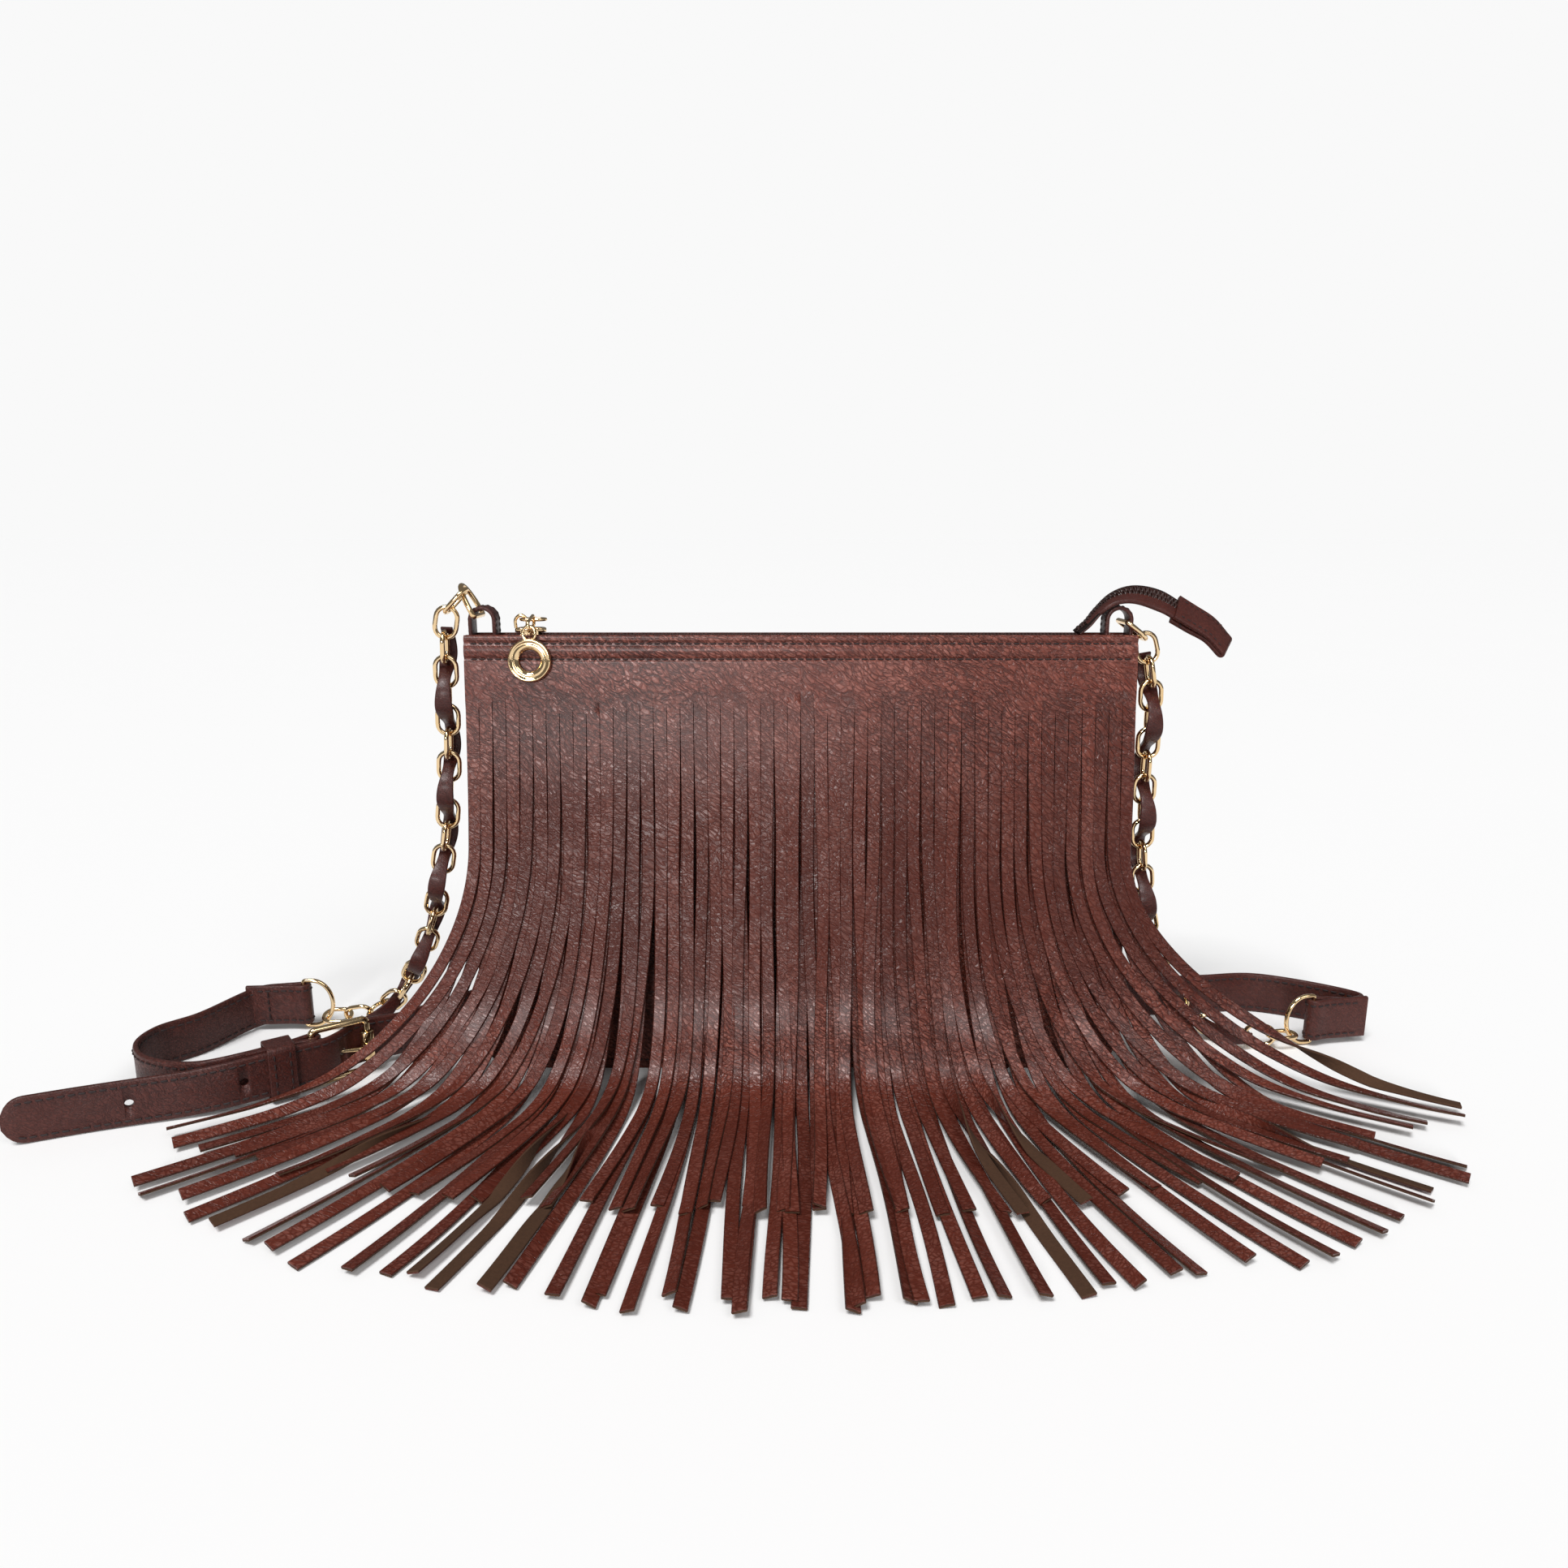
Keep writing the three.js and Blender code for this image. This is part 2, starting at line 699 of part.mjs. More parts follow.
function addRingTab(name, side) {
  const foot = bagHeight - gussetDrop + seatGap;
  const outer = tabInnerRadius + tabThickness;
  const outline = [];
  for (let k = 0; k <= 6; k += 1) {
    const turn = (Math.PI * k) / 6;
    outline.push([side * tabX + outer * Math.cos(turn), tabZ + outer * Math.sin(turn)]);
  }
  outline.push([side * tabX - outer, foot], [side * tabX - tabInnerRadius, foot]);
  for (let k = 6; k >= 0; k -= 1) {
    const turn = (Math.PI * k) / 6;
    outline.push([side * tabX + tabInnerRadius * Math.cos(turn), tabZ + tabInnerRadius * Math.sin(turn)]);
  }
  outline.push([side * tabX + tabInnerRadius, foot], [side * tabX + outer, foot]);
  add(name, prismY(outline, -tabWidth / 2, tabWidth / 2), leatherBrown, false);
}

function ringPoint(ring, turn) {
  return ring.bar.clone()
    .addScaledVector(ring.side, ring.half * Math.sin(turn))
    .addScaledVector(ring.reachWay, ring.leg + (ring.reach - ring.leg) * Math.cos(turn));
}

function dRing(ring, wire) {
  const points = [ring.bar.clone().addScaledVector(ring.side, -ring.half)];
  for (let k = 0; k <= 6; k += 1) {
    points.push(ringPoint(ring, -Math.PI / 2 + (Math.PI * k) / 6));
  }
  points.push(ring.bar.clone().addScaledVector(ring.side, ring.half));
  const normal = new THREE.Vector3().crossVectors(ring.side, ring.reachWay).normalize();
  return wireLoop(points, wire / 2, normal, 6);
}

const barRoom = tabInnerRadius - ringWire / 2 - seatGap;
const leftRing = {
  bar: at(-tabX - 0.8 * barRoom, 0, tabZ + 0.6 * barRoom),
  side: at(0, 1, 0),
  reachWay: at(-0.46, 0, 0.89).normalize(),
  half: bagRingHalfWidth,
  leg: ringWire,
  reach: leftRingReach,
};
const rightRing = {
  bar: at(tabX + 0.9 * barRoom, 0, tabZ - 0.3 * barRoom),
  side: at(0, 1, 0),
  reachWay: at(0.8, 0, -0.6),
  half: bagRingHalfWidth,
  leg: ringWire,
  reach: rightRingReach,
};

// Chain: oval links hooked through each other along a curve, every second one turned by a quarter
const touching = (linkWire - jointOverlap) / 2;
const loose = linkWire / 2 + 0.2;

function pointAtChord(samples, from, start, chord) {
  let i = start;
  while (i < samples.length - 1 && samples[i].distanceTo(from) < chord) {
    i += 1;
  }
  return i;
}

function layChain(route, count, firstIsEdge, hook) {
  const samples = new THREE.CatmullRomCurve3(route).getSpacedPoints(1200);
  const singles = 2 * chainNodes - count;
  const links = [];
  let normal = at(0, 1, 0);
  let joint = samples[0];
  let index = 0;
  for (let k = 0; k <= count; k += 1) {
    const paired = k >= singles && k < count;
    const opensPair = paired && (k - singles) % 2 === 0;
    const closesPair = paired && !opensPair;
    const startReach = k === 0 ? hook : closesPair ? touching : loose;
    const endReach = opensPair ? touching : loose;
    const pitch = linkLength - linkWire - startReach - endReach;
    const nextIndex = pointAtChord(samples, joint, index, pitch);
    const along = samples[nextIndex].clone().sub(joint).normalize();
    normal = normal.clone().addScaledVector(along, -normal.dot(along)).normalize();
    const across = new THREE.Vector3().crossVectors(along, normal);
    const centre = joint.clone().addScaledVector(along, (linkLength - linkWire) / 2 - startReach);
    const edge = (k % 2 === 0) === firstIsEdge;
    links.push({ centre, along, normal, across, edge, opensPair, closesPair });
    joint = joint.clone().addScaledVector(along, pitch);
    index = nextIndex;
  }
  return { links, end: joint, along: links[count].along };
}

function linkGeometry(link) {
  const flat = link.edge ? link.normal : link.across;
  return ovalLink(link.centre, link.along, flat, linkLength, linkWidth, linkWire, 4);
}

// Lace: passes over and under each edge-on link and through the link between
function laceGeometry(links) {
  const far = linkWidth / 2 + seatGap + laceThickness / 2 + 0.95;
  const near = 0.585 * far;
  const points = [];
  const widths = [];
  let side = 1;
  for (const link of links) {
    if (link.edge) {
      const steps = [[-0.69, near], [-0.295, far], [0.295, far], [0.69, near]];
      for (const [reach, height] of steps) {
        points.push(link.centre.clone()
          .addScaledVector(link.along, (reach * (linkLength - 2 * linkWire)))
          .addScaledVector(link.normal, side * height));
        widths.push(link.across);
      }
      side = -side;
    }
  }
  const width = (share, along) => {
    const wide = widths[Math.round(share * (points.length - 1))].clone();
    return wide.addScaledVector(along, -wide.dot(along));
  };
  return loft(bandSections(points, width, laceWidth, laceThickness));
}

function addChain(sideName, chain) {
  const { links } = chain;
  let number = 1;
  for (let k = 0; k < links.length - 1; k += 1) {
    const label = String(number).padStart(2, '0');
    if (links[k].opensPair) {
      const pair = join(linkGeometry(links[k]), linkGeometry(links[k + 1]));
      add(`chain_${sideName}_${label}`, pair, gold, true);
      number += 1;
    } else if (!links[k].closesPair) {
      add(`chain_${sideName}_${label}`, linkGeometry(links[k]), gold, true);
      number += 1;
    }
  }
  add(`chain_end_link_${sideName}`, linkGeometry(links[links.length - 1]), gold, true);
  add(`chain_lace_${sideName}`, laceGeometry(links.slice(1, -1)), leatherBrown, false);
}

// D-ring in a strap end: the chain's end link hooks its bow below the middle
const ringHeight = strapWidth / 2 + edgeRoom + 1.25 * strapRingWire;
const ringHalf = strapWidth / 2 + edgeRoom + strapRingWire / 2;
const ringLeg = strapRingWire / 2 + strapThickness + 2 * seatGap;

function strapRing(chain) {
  const level = at(chain.along.x, chain.along.y, 0).normalize();
  const drop = Math.asin((ringHeight - chain.end.z) / ringHalf);
  const gap = strapRingWire / 2 + 0.6;
  const bar = chain.end.clone().addScaledVector(level, ringLeg + (strapRingReach - ringLeg) * Math.cos(drop) - gap);
  bar.z = ringHeight;
  return { bar, side: UP, reachWay: level.clone().negate(), half: ringHalf, reach: strapRingReach, leg: ringLeg, level };
}

// Straps stand on edge: a band follows a route of points whose z is the lower edge
function localPoint(origin, along, aside, e, c, z) {
  return at(origin.x + e * along.x + c * aside.x, origin.y + e * along.y + c * aside.y, z);
}

// Strap folded round a bar, from the free end round the bar to where the layers part
function foldRoute(bar, along, aside, barRadius, lift) {
  const middle = (strapThickness + seatGap + 0.1) / 2;
  const round = barRadius + seatGap + strapThickness / 2;
  const local = [[foldLength, middle], [0.5 * foldLength, middle], [3.2 * round, middle]];
  for (let k = 0; k <= 5; k += 1) {
    const turn = Math.PI / 2 + (Math.PI * k) / 5;
    local.push([round * Math.cos(turn), round * Math.sin(turn)]);
  }
  local.push([3.2 * round, -middle]);
  return local.map(([e, c]) => localPoint(bar, along, aside, e, c, lift));
}

function strapBand(route, tipSteps) {
  const sections = route.map((point, i) => {
    const before = route[Math.max(0, i - 1)];
    const after = route[Math.min(route.length - 1, i + 1)];
    const inward = point.clone().sub(before).setZ(0);
    const outward = after.clone().sub(point).setZ(0);
    const along = inward.clone().normalize().add(outward.clone().normalize()).normalize();
    const aside = new THREE.Vector3().crossVectors(UP, along);
    const left = route.length - 1 - i;
    const trim = left < tipSteps.length ? tipSteps[left] : 0;
    return [[-1, trim], [1, trim], [1, strapWidth - trim], [-1, strapWidth - trim]].map(([u, rise]) => {
      const corner = point.clone().addScaledVector(aside, (u * strapThickness) / 2);
      corner.z += rise;
      return corner;
    });
  });
  return loft(sections);
}

function smooth(points, count) {
  return new THREE.CatmullRomCurve3(points, false, 'centripetal').getSpacedPoints(count);
}

const chainFloor = linkWidth / 2 + 0.5;
const chainLeft = layChain([
  ringPoint(leftRing, -Math.PI / 4),
  at(leftEnd - 7.5, -6.5, bagHeight + 9),
  at(leftEnd - 9, -6, bagHeight - 4),
  at(leftEnd - 10, -4, bagHeight - 30),
  at(leftEnd - 14, 0, 0.59 * bagHeight),
  at(leftEnd - 24, 4, 0.347 * bagHeight),
  at(leftEnd - 36, 13, 0.2 * bagHeight),
  at(leftEnd - 50, 20, 17),
  at(leftEnd - 67, 24.5, 7),
  at(leftEnd - 88, 24, chainFloor),
  at(leftEnd - 120, 20, chainFloor),
], leftLinks, true, (linkWire + ringWire) / 2 + 0.3);

const chainRight = layChain([
  ringPoint(rightRing, 0),
  at(rightEnd + 9.5, 0, bagHeight - 18),
  at(rightEnd + 10.5, 1, bagHeight - 42),
  at(rightEnd + 11.5, 4, 0.568 * bagHeight),
  at(rightEnd + 17, 8, 0.326 * bagHeight),
  at(rightEnd + 28, 11, 0.168 * bagHeight),
  at(rightEnd + 42, 11, 12),
  at(rightEnd + 58, 8, 6),
  at(rightEnd + 71, 3, chainFloor),
  at(rightEnd + 84, 3, chainFloor),
  at(rightEnd + 98, 10, chainFloor),
  at(rightEnd + 120, 27, chainFloor),
], rightLinks, false, (linkWire + ringWire) / 2 + 0.3);

const ringLeft = strapRing(chainLeft);
const ringRight = strapRing(chainRight);

// Buckle frame of reference: e runs from the heel bar to the roller, c faces the front
const heel = at(leftEnd - 68, -35, 0);
const buckleAlong = at(0.81, 0.59, 0).normalize();
const buckleAside = at(buckleAlong.y, -buckleAlong.x, 0);
const buckleZ = buckleWire + edgeRoom + strapWidth / 2;
const buckleLift = buckleZ - strapWidth / 2;
const ringLift = ringHeight - strapWidth / 2;
const foldRound = buckleWire / 2 + seatGap + strapThickness / 2;
const overHeel = foldRound + strapThickness + seatGap + 0.2;
const behindRoller = -(rollerRadius + seatGap + strapThickness / 2);
const prongAt = 0.52 * buckleLength;

function buckleAt(e, c, z) {
  return localPoint(heel, buckleAlong, buckleAside, e, c, z);
}

function shortStrap() {
  const intoLeft = ringLeft.level;
  const asideLeft = at(-intoLeft.y, intoLeft.x, 0);
  const leftFold = foldRoute(ringLeft.bar, intoLeft, asideLeft, strapRingWire / 2, ringLift);
  const heelFold = foldRoute(heel, buckleAlong.clone().negate(), buckleAside, buckleWire / 2, buckleLift).toReversed();
  const middle = smooth([
    leftFold[leftFold.length - 1],
    localPoint(ringLeft.bar, intoLeft, asideLeft, 0.8 * foldLength, -1.4, 1.6),
    at(heel.x - 64, heel.y + 31, strapLift),
    at(heel.x - 75, heel.y + 17, strapLift),
    at(heel.x - 76, heel.y + 3, strapLift),
    at(heel.x - 68, heel.y - 9, strapLift),
    at(heel.x - 54, heel.y - 16, strapLift),
    at(heel.x - 39, heel.y - 18.5, 1),
    buckleAt(-0.95 * foldLength, -1.6, buckleLift - 0.6),
    heelFold[0],
  ], 15);
  const band = strapBand([...leftFold.slice(0, -1), ...middle, ...heelFold.slice(1)], []);
  const slot = prismZ([
    [-6, -8],
    [6, -8],
    [6, 8],
    [-6, 8],
  ], buckleZ - prongWire, buckleZ + prongWire);
  slot.rotateZ(Math.atan2(buckleAlong.y, buckleAlong.x));
  slot.translate(heel.x, heel.y, 0);
  return cut(band, slot);
}

function prongRoute() {
  const over = rollerRadius + seatGap + prongWire / 2 + 0.1;
  return [
    buckleAt(buckleWire / 2 + seatGap + prongWire / 2, 0.2, buckleZ),
    buckleAt(0.5 * prongAt, 0.3, buckleZ),
    buckleAt(prongAt, 0.06 * buckleLength, buckleZ),
    buckleAt(buckleLength - 3.5, over - 0.3, buckleZ),
    buckleAt(buckleLength + 2.5, over + 0.2, buckleZ),
  ];
}

function longStrap() {
  const intoRight = ringRight.level;
  const asideRight = at(intoRight.y, -intoRight.x, 0);
  const rightFold = foldRoute(ringRight.bar, intoRight, asideRight, strapRingWire / 2, ringLift);
  const behind = smooth([
    rightFold[rightFold.length - 1],
    localPoint(ringRight.bar, intoRight, asideRight, foldLength * 0.7, -1.4, 1.6),
    localPoint(ringRight.bar, intoRight, asideRight, foldLength * 1.15, -8, strapLift),
    at(ringRight.bar.x - 10.8, baseHalfDepth + 25, strapLift),
    at(rightEnd + 56, baseHalfDepth + 23, strapLift),
    at(rightEnd, baseHalfDepth + 18, strapLift),
    at(0.143 * bagWidth, baseHalfDepth + 15, strapLift),
    at(-0.214 * bagWidth, baseHalfDepth + 15, strapLift),
    at(leftEnd + 12, baseHalfDepth + 16, strapLift),
    at(leftEnd - 10, baseHalfDepth + 8, strapLift),
    at(leftEnd - 24, 12, 1),
    buckleAt(1.75 * buckleLength, behindRoller - 0.4, 2.4),
    buckleAt(1.2 * buckleLength, behindRoller, buckleLift),
  ], 26);
  const through = [
    buckleAt(buckleLength, behindRoller, buckleLift),
    buckleAt(prongAt + 5.6, behindRoller + 1.2, buckleLift),
    buckleAt(prongAt, 0.06 * buckleLength, buckleLift),
    buckleAt(prongAt - 5.6, overHeel - 0.9, buckleLift),
    buckleAt(2.5, overHeel, buckleLift),
  ];
  const tip = smooth([
    buckleAt(-5, overHeel, buckleLift),
    buckleAt(-20, overHeel - 0.6, buckleLift - 0.3),
    buckleAt(-foldLength - 6, 3.9, 2.6),
    buckleAt(-48, -1.5, 1),
    buckleAt(-67, -8, 0.4),
    buckleAt(-86, -13.5, strapLift),
    buckleAt(-106, -18, strapLift),
  ], 11);
  const end = tip[tip.length - 1];
  const run = end.clone().sub(tip[tip.length - 2]).normalize();
  const nose = [2.5, 4.5].map((reach) => end.clone().addScaledVector(run, reach));
  const band = strapBand([...rightFold.slice(0, -1), ...behind, ...through, ...tip, ...nose], [5.5, 1.6]);
  const holes = [1, 2].map((step) => {
    const hole = new THREE.CylinderGeometry(holeRadius, holeRadius, 12, 10);
    const reach = prongAt - step * holeSpacing;
    const place = tip.reduce((best, point) => {
      const off = (candidate) => Math.abs(candidate.clone().sub(heel).dot(buckleAlong) - reach);
      return off(point) < off(best) ? point : best;
    });
    hole.rotateZ(Math.atan2(buckleAside.y, buckleAside.x) - Math.PI / 2);
    return hole.translate(place.x, place.y, place.z + strapWidth / 2);
  });
  const prongRoom = openTube(prongRoute().slice(1, 4), prongWire / 2 + 0.5, 8, 4);
  return cut(band, ...holes, prongRoom);
}

function buckleFrame() {
  const half = strapWidth / 2 + edgeRoom + buckleWire / 2;
  const corner = buckleCorner;
  const points = [];
  const centres = [[buckleLength - corner, half - corner, 0], [corner, half - corner, 1]];
  centres.push([corner, corner - half, 2], [buckleLength - corner, corner - half, 3]);
  for (const [e, h, quarter] of centres) {
    for (let k = 0; k <= 2; k += 1) {
      const turn = (Math.PI / 2) * quarter + (Math.PI * k) / 4;
      points.push(buckleAt(e + corner * Math.cos(turn), 0, buckleZ + h + corner * Math.sin(turn)));
    }
  }
  return wireLoop(points, buckleWire / 2, buckleAside, 6);
}

function buckleRoller() {
  const inner = buckleWire / 2 + seatGap;
  const half = strapWidth / 2 + edgeRoom - 4;
  const profile = [
    new THREE.Vector2(inner, -half),
    new THREE.Vector2(rollerRadius, -half),
    new THREE.Vector2(rollerRadius, half),
    new THREE.Vector2(inner, half),
    new THREE.Vector2(inner, -half),
  ];
  const roller = new THREE.LatheGeometry(profile, 12);
  roller.rotateX(Math.PI / 2);
  const centre = buckleAt(buckleLength, 0, buckleZ);
  return roller.translate(centre.x, centre.y, centre.z);
}

function buckleProng() {
  const eyeRadius = buckleWire / 2 + seatGap + prongWire / 2;
  const eye = [];
  for (let k = 0; k < 8; k += 1) {
    const turn = (Math.PI * k) / 4;
    eye.push(buckleAt(1.06 * eyeRadius * Math.cos(turn), 1.06 * eyeRadius * Math.sin(turn), buckleZ));
  }
  return join(wireLoop(eye, prongWire / 2, UP, 6), openTube(prongRoute(), prongWire / 2, 6, 8));
}

// Keeper: a closed leather loop round the strap layers beside the heel bar
function keeperLoop() {
  const middle = (strapThickness + seatGap + 0.1) / 2;
  const back = -middle - strapThickness / 2 - 0.8;
  const front = overHeel + strapThickness / 2 + 0.4;
  const low = buckleLift - 1;
  const high = buckleLift + strapWidth + 0.4;
  const loop = (grow, cornerCut) => [
    [back - grow + cornerCut, low - grow],
    [front + grow - cornerCut, low - grow],
    [front + grow, low - grow + cornerCut],
    [front + grow, high + grow - cornerCut],
    [front + grow - cornerCut, high + grow],
    [back - grow + cornerCut, high + grow],
    [back - grow, high + grow - cornerCut],
    [back - grow, low - grow + cornerCut],
  ];
  const shape = outlineShape(loop(keeperThickness, 1));
  const hole = new THREE.Path(loop(0, 0.3).map(([u, v]) => new THREE.Vector2(u, v)));
  shape.holes.push(hole);
  const geometry = new THREE.ExtrudeGeometry(shape, { depth: keeperWidth, bevelEnabled: false });
  const basis = new THREE.Matrix4().makeBasis(buckleAside, UP, buckleAlong.clone().negate());
  const start = buckleAt(-8, 0, 0);
  return geometry.applyMatrix4(basis.setPosition(start.x, start.y, 0));
}

addBody();
addFringe();
add('zip_half_front', zipHalf(-1), zipBlack, false);
add('zip_half_back', zipHalf(1), zipBlack, false);
addSlider();
addPuller();
addZipTail();
addRingTab('ring_tab_left', -1);
addRingTab('ring_tab_right', 1);
add('bag_ring_left', dRing(leftRing, ringWire), gold, true);
add('bag_ring_right', dRing(rightRing, ringWire), gold, true);
addChain('left', chainLeft);
addChain('right', chainRight);
add('strap_ring_left', dRing(ringLeft, strapRingWire), gold, true);
add('strap_ring_right', dRing(ringRight, strapRingWire), gold, true);
add('strap_short', shortStrap(), leatherBrown, false);
add('strap_long', longStrap(), leatherBrown, false);
add('buckle_frame', buckleFrame(), gold, true);
add('buckle_roller', buckleRoller(), gold, true);
add('buckle_prong', buckleProng(), gold, true);
add('keeper_loop', keeperLoop(), leatherBrown, false);

export default part;
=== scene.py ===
import logging
import math
from dataclasses import dataclass, field
from enum import Enum
from functools import partial
from itertools import product
from typing import Any, Callable

import bmesh
import bpy
import numpy as np
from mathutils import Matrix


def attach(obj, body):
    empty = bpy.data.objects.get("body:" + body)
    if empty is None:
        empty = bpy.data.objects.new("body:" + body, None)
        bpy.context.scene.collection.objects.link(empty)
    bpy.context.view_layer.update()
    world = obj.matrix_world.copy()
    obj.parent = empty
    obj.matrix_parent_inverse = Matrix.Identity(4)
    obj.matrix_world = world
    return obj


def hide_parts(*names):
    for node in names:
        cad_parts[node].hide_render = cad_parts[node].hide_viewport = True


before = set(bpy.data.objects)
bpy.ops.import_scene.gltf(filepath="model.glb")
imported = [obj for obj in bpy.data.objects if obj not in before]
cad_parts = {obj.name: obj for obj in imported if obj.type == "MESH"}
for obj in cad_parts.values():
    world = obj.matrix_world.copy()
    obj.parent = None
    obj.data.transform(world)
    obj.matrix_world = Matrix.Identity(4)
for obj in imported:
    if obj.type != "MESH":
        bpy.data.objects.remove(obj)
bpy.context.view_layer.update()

MM = 0.001
UP = np.array([0.0, 0.0, 1.0])
log = logging.getLogger("fringed_bag")


class Slot(str, Enum):
    """Material slots of the record that a piece takes its finish from."""

    LEATHER = "leather"
    FRINGE = "fringe_leather"
    LINING = "lining_cloth"
    ZIP = "zip_tape"
    GOLD = "gold_metal"


class Ride(str, Enum):
    """Bodies of the frame that a piece can move with."""

    BAG = "bag"
    SLIDER = "zip_slider"
    LINK = "puller_link"
    JUMP = "puller_jump_link"
    RING = "puller_ring"
    ROLLER = "roller"
    PRONG = "prong"


def vec(*values: float) -> np.ndarray:
    """Returns a float array of the given numbers."""
    return np.array(values, dtype=float)


def unit(vectors: np.ndarray) -> np.ndarray:
    """Returns the vectors at length 1 along the last axis."""
    return vectors / np.maximum(np.linalg.norm(vectors, axis=-1, keepdims=True), 1e-12)


def ease(values: np.ndarray | float, low: float, high: float) -> Any:
    """Returns a smooth step from 0 at low to 1 at high."""
    share = np.clip((np.asarray(values, dtype=float) - low) / (high - low), 0.0, 1.0)
    return share * share * (3.0 - 2.0 * share)


def jitter(seed: np.ndarray | float) -> Any:
    """Returns numbers from -1 to 1 that look random: the fraction of a large sine of the seed."""
    wave = np.sin(np.asarray(seed, dtype=float) * 127.1 + 11.7) * 43758.5453
    return 2.0 * (wave - np.floor(wave)) - 1.0


@dataclass
class Route:
    """A smooth centripetal Catmull-Rom curve through control points, in millimetres."""

    controls: np.ndarray

    def at(self, share: np.ndarray) -> np.ndarray:
        """Evaluates the curve at parameter values from 0 to 1.

        Args:
            share: Parameter values.

        Returns:
            One point per value: on each span, the cubic through its two ends with the
            tangents of the centripetal spacing.
        """
        pts = np.asarray(self.controls, dtype=float)
        padded = np.vstack([2 * pts[0] - pts[1], pts, 2 * pts[-1] - pts[-2]])
        place = np.clip(share, 0, 1) * (len(pts) - 1)
        span = np.minimum(place.astype(int), len(pts) - 2)
        t = (place - span)[:, None]
        p0, p1, p2, p3 = (padded[span + k] for k in range(4))
        d0, d1, d2 = (
            np.maximum(np.linalg.norm(b - a, axis=1), 1e-4)[:, None] ** 0.5
            for a, b in ((p0, p1), (p1, p2), (p2, p3))
        )
        m1 = ((p1 - p0) / d0 - (p2 - p0) / (d0 + d1) + (p2 - p1) / d1) * d1
        m2 = ((p2 - p1) / d1 - (p3 - p1) / (d1 + d2) + (p3 - p2) / d2) * d1
        c2 = -3 * p1 + 3 * p2 - 2 * m1 - m2
        c3 = 2 * p1 - 2 * p2 + m1 + m2
        return p1 + m1 * t + c2 * t**2 + c3 * t**3

    def spaced(self, count: int) -> np.ndarray:
        """Returns count + 1 points that are evenly spaced by length along the curve."""
        grid = np.linspace(0, 1, 201)
        lengths = measure(self.at(grid))
        targets = np.linspace(0, lengths[-1], count + 1)
        return self.at(np.interp(targets, lengths, grid))


def measure(points: np.ndarray) -> np.ndarray:
    """Returns the length along a row of points, from 0 at the first."""
    steps = np.linalg.norm(np.diff(points, axis=0), axis=1)
    return np.concatenate([[0.0], np.cumsum(steps)])


def resample(points: np.ndarray, count: int) -> np.ndarray:
    """Returns count points evenly spaced by length along a row of points."""
    lengths = measure(points)
    targets = np.linspace(0, lengths[-1], count)
    return columns_of(targets, lengths, points)


def tangents(points: np.ndarray, closed: bool = False) -> np.ndarray:
    """Returns unit directions along a row of points, the mean of the two steps at each."""
    if closed:
        return unit(unit(np.roll(points, -1, 0) - points) + unit(points - np.roll(points, 1, 0)))
    return unit(np.gradient(points, axis=0))


def square_to(vectors: np.ndarray, along: np.ndarray) -> np.ndarray:
    """Returns the vectors less their part along the unit directions, at length 1."""
    return unit(vectors - along * np.sum(vectors * along, axis=-1, keepdims=True))


def columns_of(targets: np.ndarray, run: np.ndarray, rows: np.ndarray) -> np.ndarray:
    """Returns the rows of a table (n, k), read at each target length along it."""
    return np.stack([np.interp(targets, run, column) for column in rows.T], axis=-1)


def rounded_profile(width: float, thick: float, radius: float, steps: int = 2) -> np.ndarray:
    """Outline of a rectangle with round corners, centred on 0.

    Args:
        width: Size along u.
        thick: Size along v.
        radius: Corner radius.
        steps: Segments in a corner.

    Returns:
        Points (u, v) anticlockwise from the lower right corner.
    """
    turn = np.linspace(0, np.pi / 2, steps + 1)
    corners = []
    for quarter, (u, v) in enumerate(((1, -1), (1, 1), (-1, 1), (-1, -1))):
        angle = turn + (quarter - 1) * np.pi / 2
        centre = vec(u * (width / 2 - radius), v * (thick / 2 - radius))
        corners.append(centre + radius * np.stack([np.cos(angle), np.sin(angle)], axis=1))
    return np.vstack(corners)


def circle(radius: float, count: int) -> np.ndarray:
    """Returns the corners (u, v) of a regular polygon of that radius."""
    turn = 2 * np.pi * np.arange(count) / count
    return radius * np.stack([np.cos(turn), np.sin(turn)], axis=1)


def grid_faces(rows: int, columns: int, ring_rows: bool, ring_columns: bool) -> np.ndarray:
    """Quads between the points of a grid stored row by row.

    Args:
        rows: Number of rows.
        columns: Number of columns.
        ring_rows: Joins the last row to the first.
        ring_columns: Joins the last column to the first.

    Returns:
        Corner numbers, four to a face.
    """
    i = np.arange(rows if ring_rows else rows - 1)[:, None]
    j = np.arange(columns if ring_columns else columns - 1)[None, :]
    a = i * columns + j
    b = i * columns + (j + 1) % columns
    c = ((i + 1) % rows) * columns + (j + 1) % columns
    d = ((i + 1) % rows) * columns + j
    return np.stack(np.broadcast_arrays(a, b, c, d), axis=-1).reshape(-1, 4)


def capped_faces(rows: int, columns: int) -> list[list[int]]:
    """Returns the faces of a grid whose rows are rings: its quads, then a cap at each end."""
    ring = list(range(columns))
    last = [(rows - 1) * columns + k for k in ring]
    return [*grid_faces(rows, columns, False, True).tolist(), ring[::-1], last]


@dataclass(frozen=True)
class Stitch:
    """One kind of stitch, in millimetres: its pitch, visible length and thread radius."""

    pitch: float
    length: float
    radius: float


